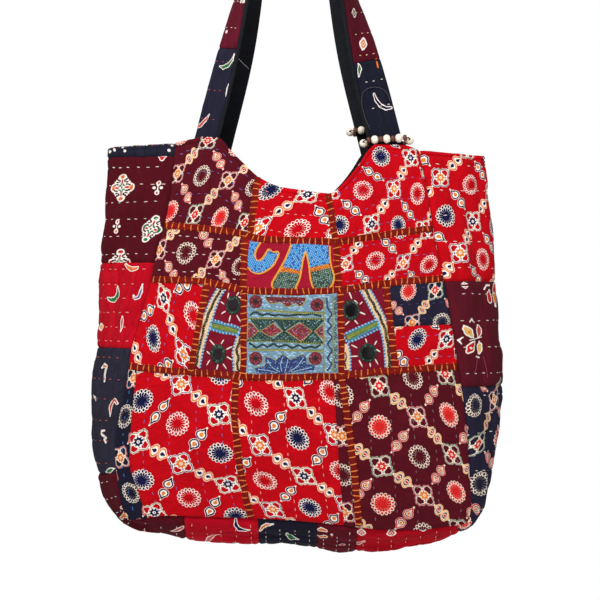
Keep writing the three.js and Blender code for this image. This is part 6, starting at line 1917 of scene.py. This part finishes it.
# ------------------------------------------------------------------ light, floor and world
scene = bpy.context.scene
scene.view_settings.view_transform = "Standard"
world = bpy.data.worlds.new("world")
scene.world = world
world.use_nodes = True
wn = world.node_tree
wn.nodes.clear()
out = wn.nodes.new("ShaderNodeOutputWorld")
mixs = wn.nodes.new("ShaderNodeMixShader")
lp = wn.nodes.new("ShaderNodeLightPath")
b1 = wn.nodes.new("ShaderNodeBackground")
b2 = wn.nodes.new("ShaderNodeBackground")
wc = wn.nodes.new("ShaderNodeTexCoord")
ws = wn.nodes.new("ShaderNodeSeparateXYZ")
wn.links.new(wc.outputs["Generated"], ws.inputs[0])
wm = wn.nodes.new("ShaderNodeMapRange")
for i, v_ in enumerate((-0.7, 0.7, 0.08, 0.33)):
    wm.inputs[i + 1].default_value = v_
wn.links.new(ws.outputs[2], wm.inputs[0])
b1.inputs[0].default_value = (1, 1, 1, 1)
wn.links.new(wm.outputs[0], b1.inputs[1])
b2.inputs[0].default_value = (1, 1, 1, 1)
b2.inputs[1].default_value = 1.0
wn.links.new(lp.outputs["Is Camera Ray"], mixs.inputs[0])
wn.links.new(b1.outputs[0], mixs.inputs[1])
wn.links.new(b2.outputs[0], mixs.inputs[2])
wn.links.new(mixs.outputs[0], out.inputs[0])


def area_light(name, loc, target, size, watts):
    li = bpy.data.lights.new(name, "AREA")
    li.shape = "RECTANGLE"
    li.size, li.size_y = size
    li.energy = watts
    ob = bpy.data.objects.new(name, li)
    ob.location = loc
    ob.rotation_euler = (Vector(target) - Vector(loc)).to_track_quat("-Z", "Y").to_euler()
    scene.collection.objects.link(ob)


area_light("key", (-0.5, -1.2, 0.8), (0, 0, -0.45), (0.8, 0.8), 29)
area_light("behind", (0.5, 1.7, 0.5), (0, 0, -0.45), (1.2, 1.2), 22)
area_light("fill", (0.9, -1.6, -0.25), (0, 0, -0.45), (0.9, 1.2), 8)

me = bpy.data.meshes.new("floor")
n = 64
ring = [(2.2 * math.cos(2 * math.pi * i / n), 2.2 * math.sin(2 * math.pi * i / n), -1.2) for i in range(n)]
me.from_pydata(ring, [], [tuple(range(n))])
fm, nt, sh = principled("floor_pale")
no = nt.nodes.new("ShaderNodeTexNoise")
no.inputs["Scale"].default_value = 3.0
ramp = nt.nodes.new("ShaderNodeValToRGB")
ramp.color_ramp.elements[0].color = (0.84, 0.84, 0.84, 1)
ramp.color_ramp.elements[1].color = (0.88, 0.88, 0.88, 1)
nt.links.new(no.outputs[0], ramp.inputs[0])
nt.links.new(ramp.outputs[0], sh.inputs["Base Color"])
sh.inputs["Roughness"].default_value = 0.9
me.materials.append(fm)
floor = bpy.data.objects.new("floor", me)
scene.collection.objects.link(floor)

# the rim's left shoulder stands higher towards its rounded corner
for ob in ALL:
    if any(w in ob.name for w in ("strap", "bead", "loose", "mirror", "embroider")):
        continue
    P = np.empty(len(ob.data.vertices) * 3)
    ob.data.vertices.foreach_get("co", P)
    P = P.reshape(-1, 3)
    x, z = P[:, 0] / MM, P[:, 2] / MM
    lift = np.interp(x, [-196, -192, -187, -150, -112, -105, -80], [2.4, 4.2, 5.3, 4.0, 2.8, 2.0, 0.0])
    top, low = np.interp(x, [-190, -112], [-271.5, -267.5]), np.interp(x, [-190, -112], [-295.0, -280.0])
    t = np.clip((z - low) / (top - low), 0, 1)
    P[:, 2] += lift * t * t * (3 - 2 * t) * MM
    ob.data.vertices.foreach_set("co", P.ravel())
    ob.data.update()
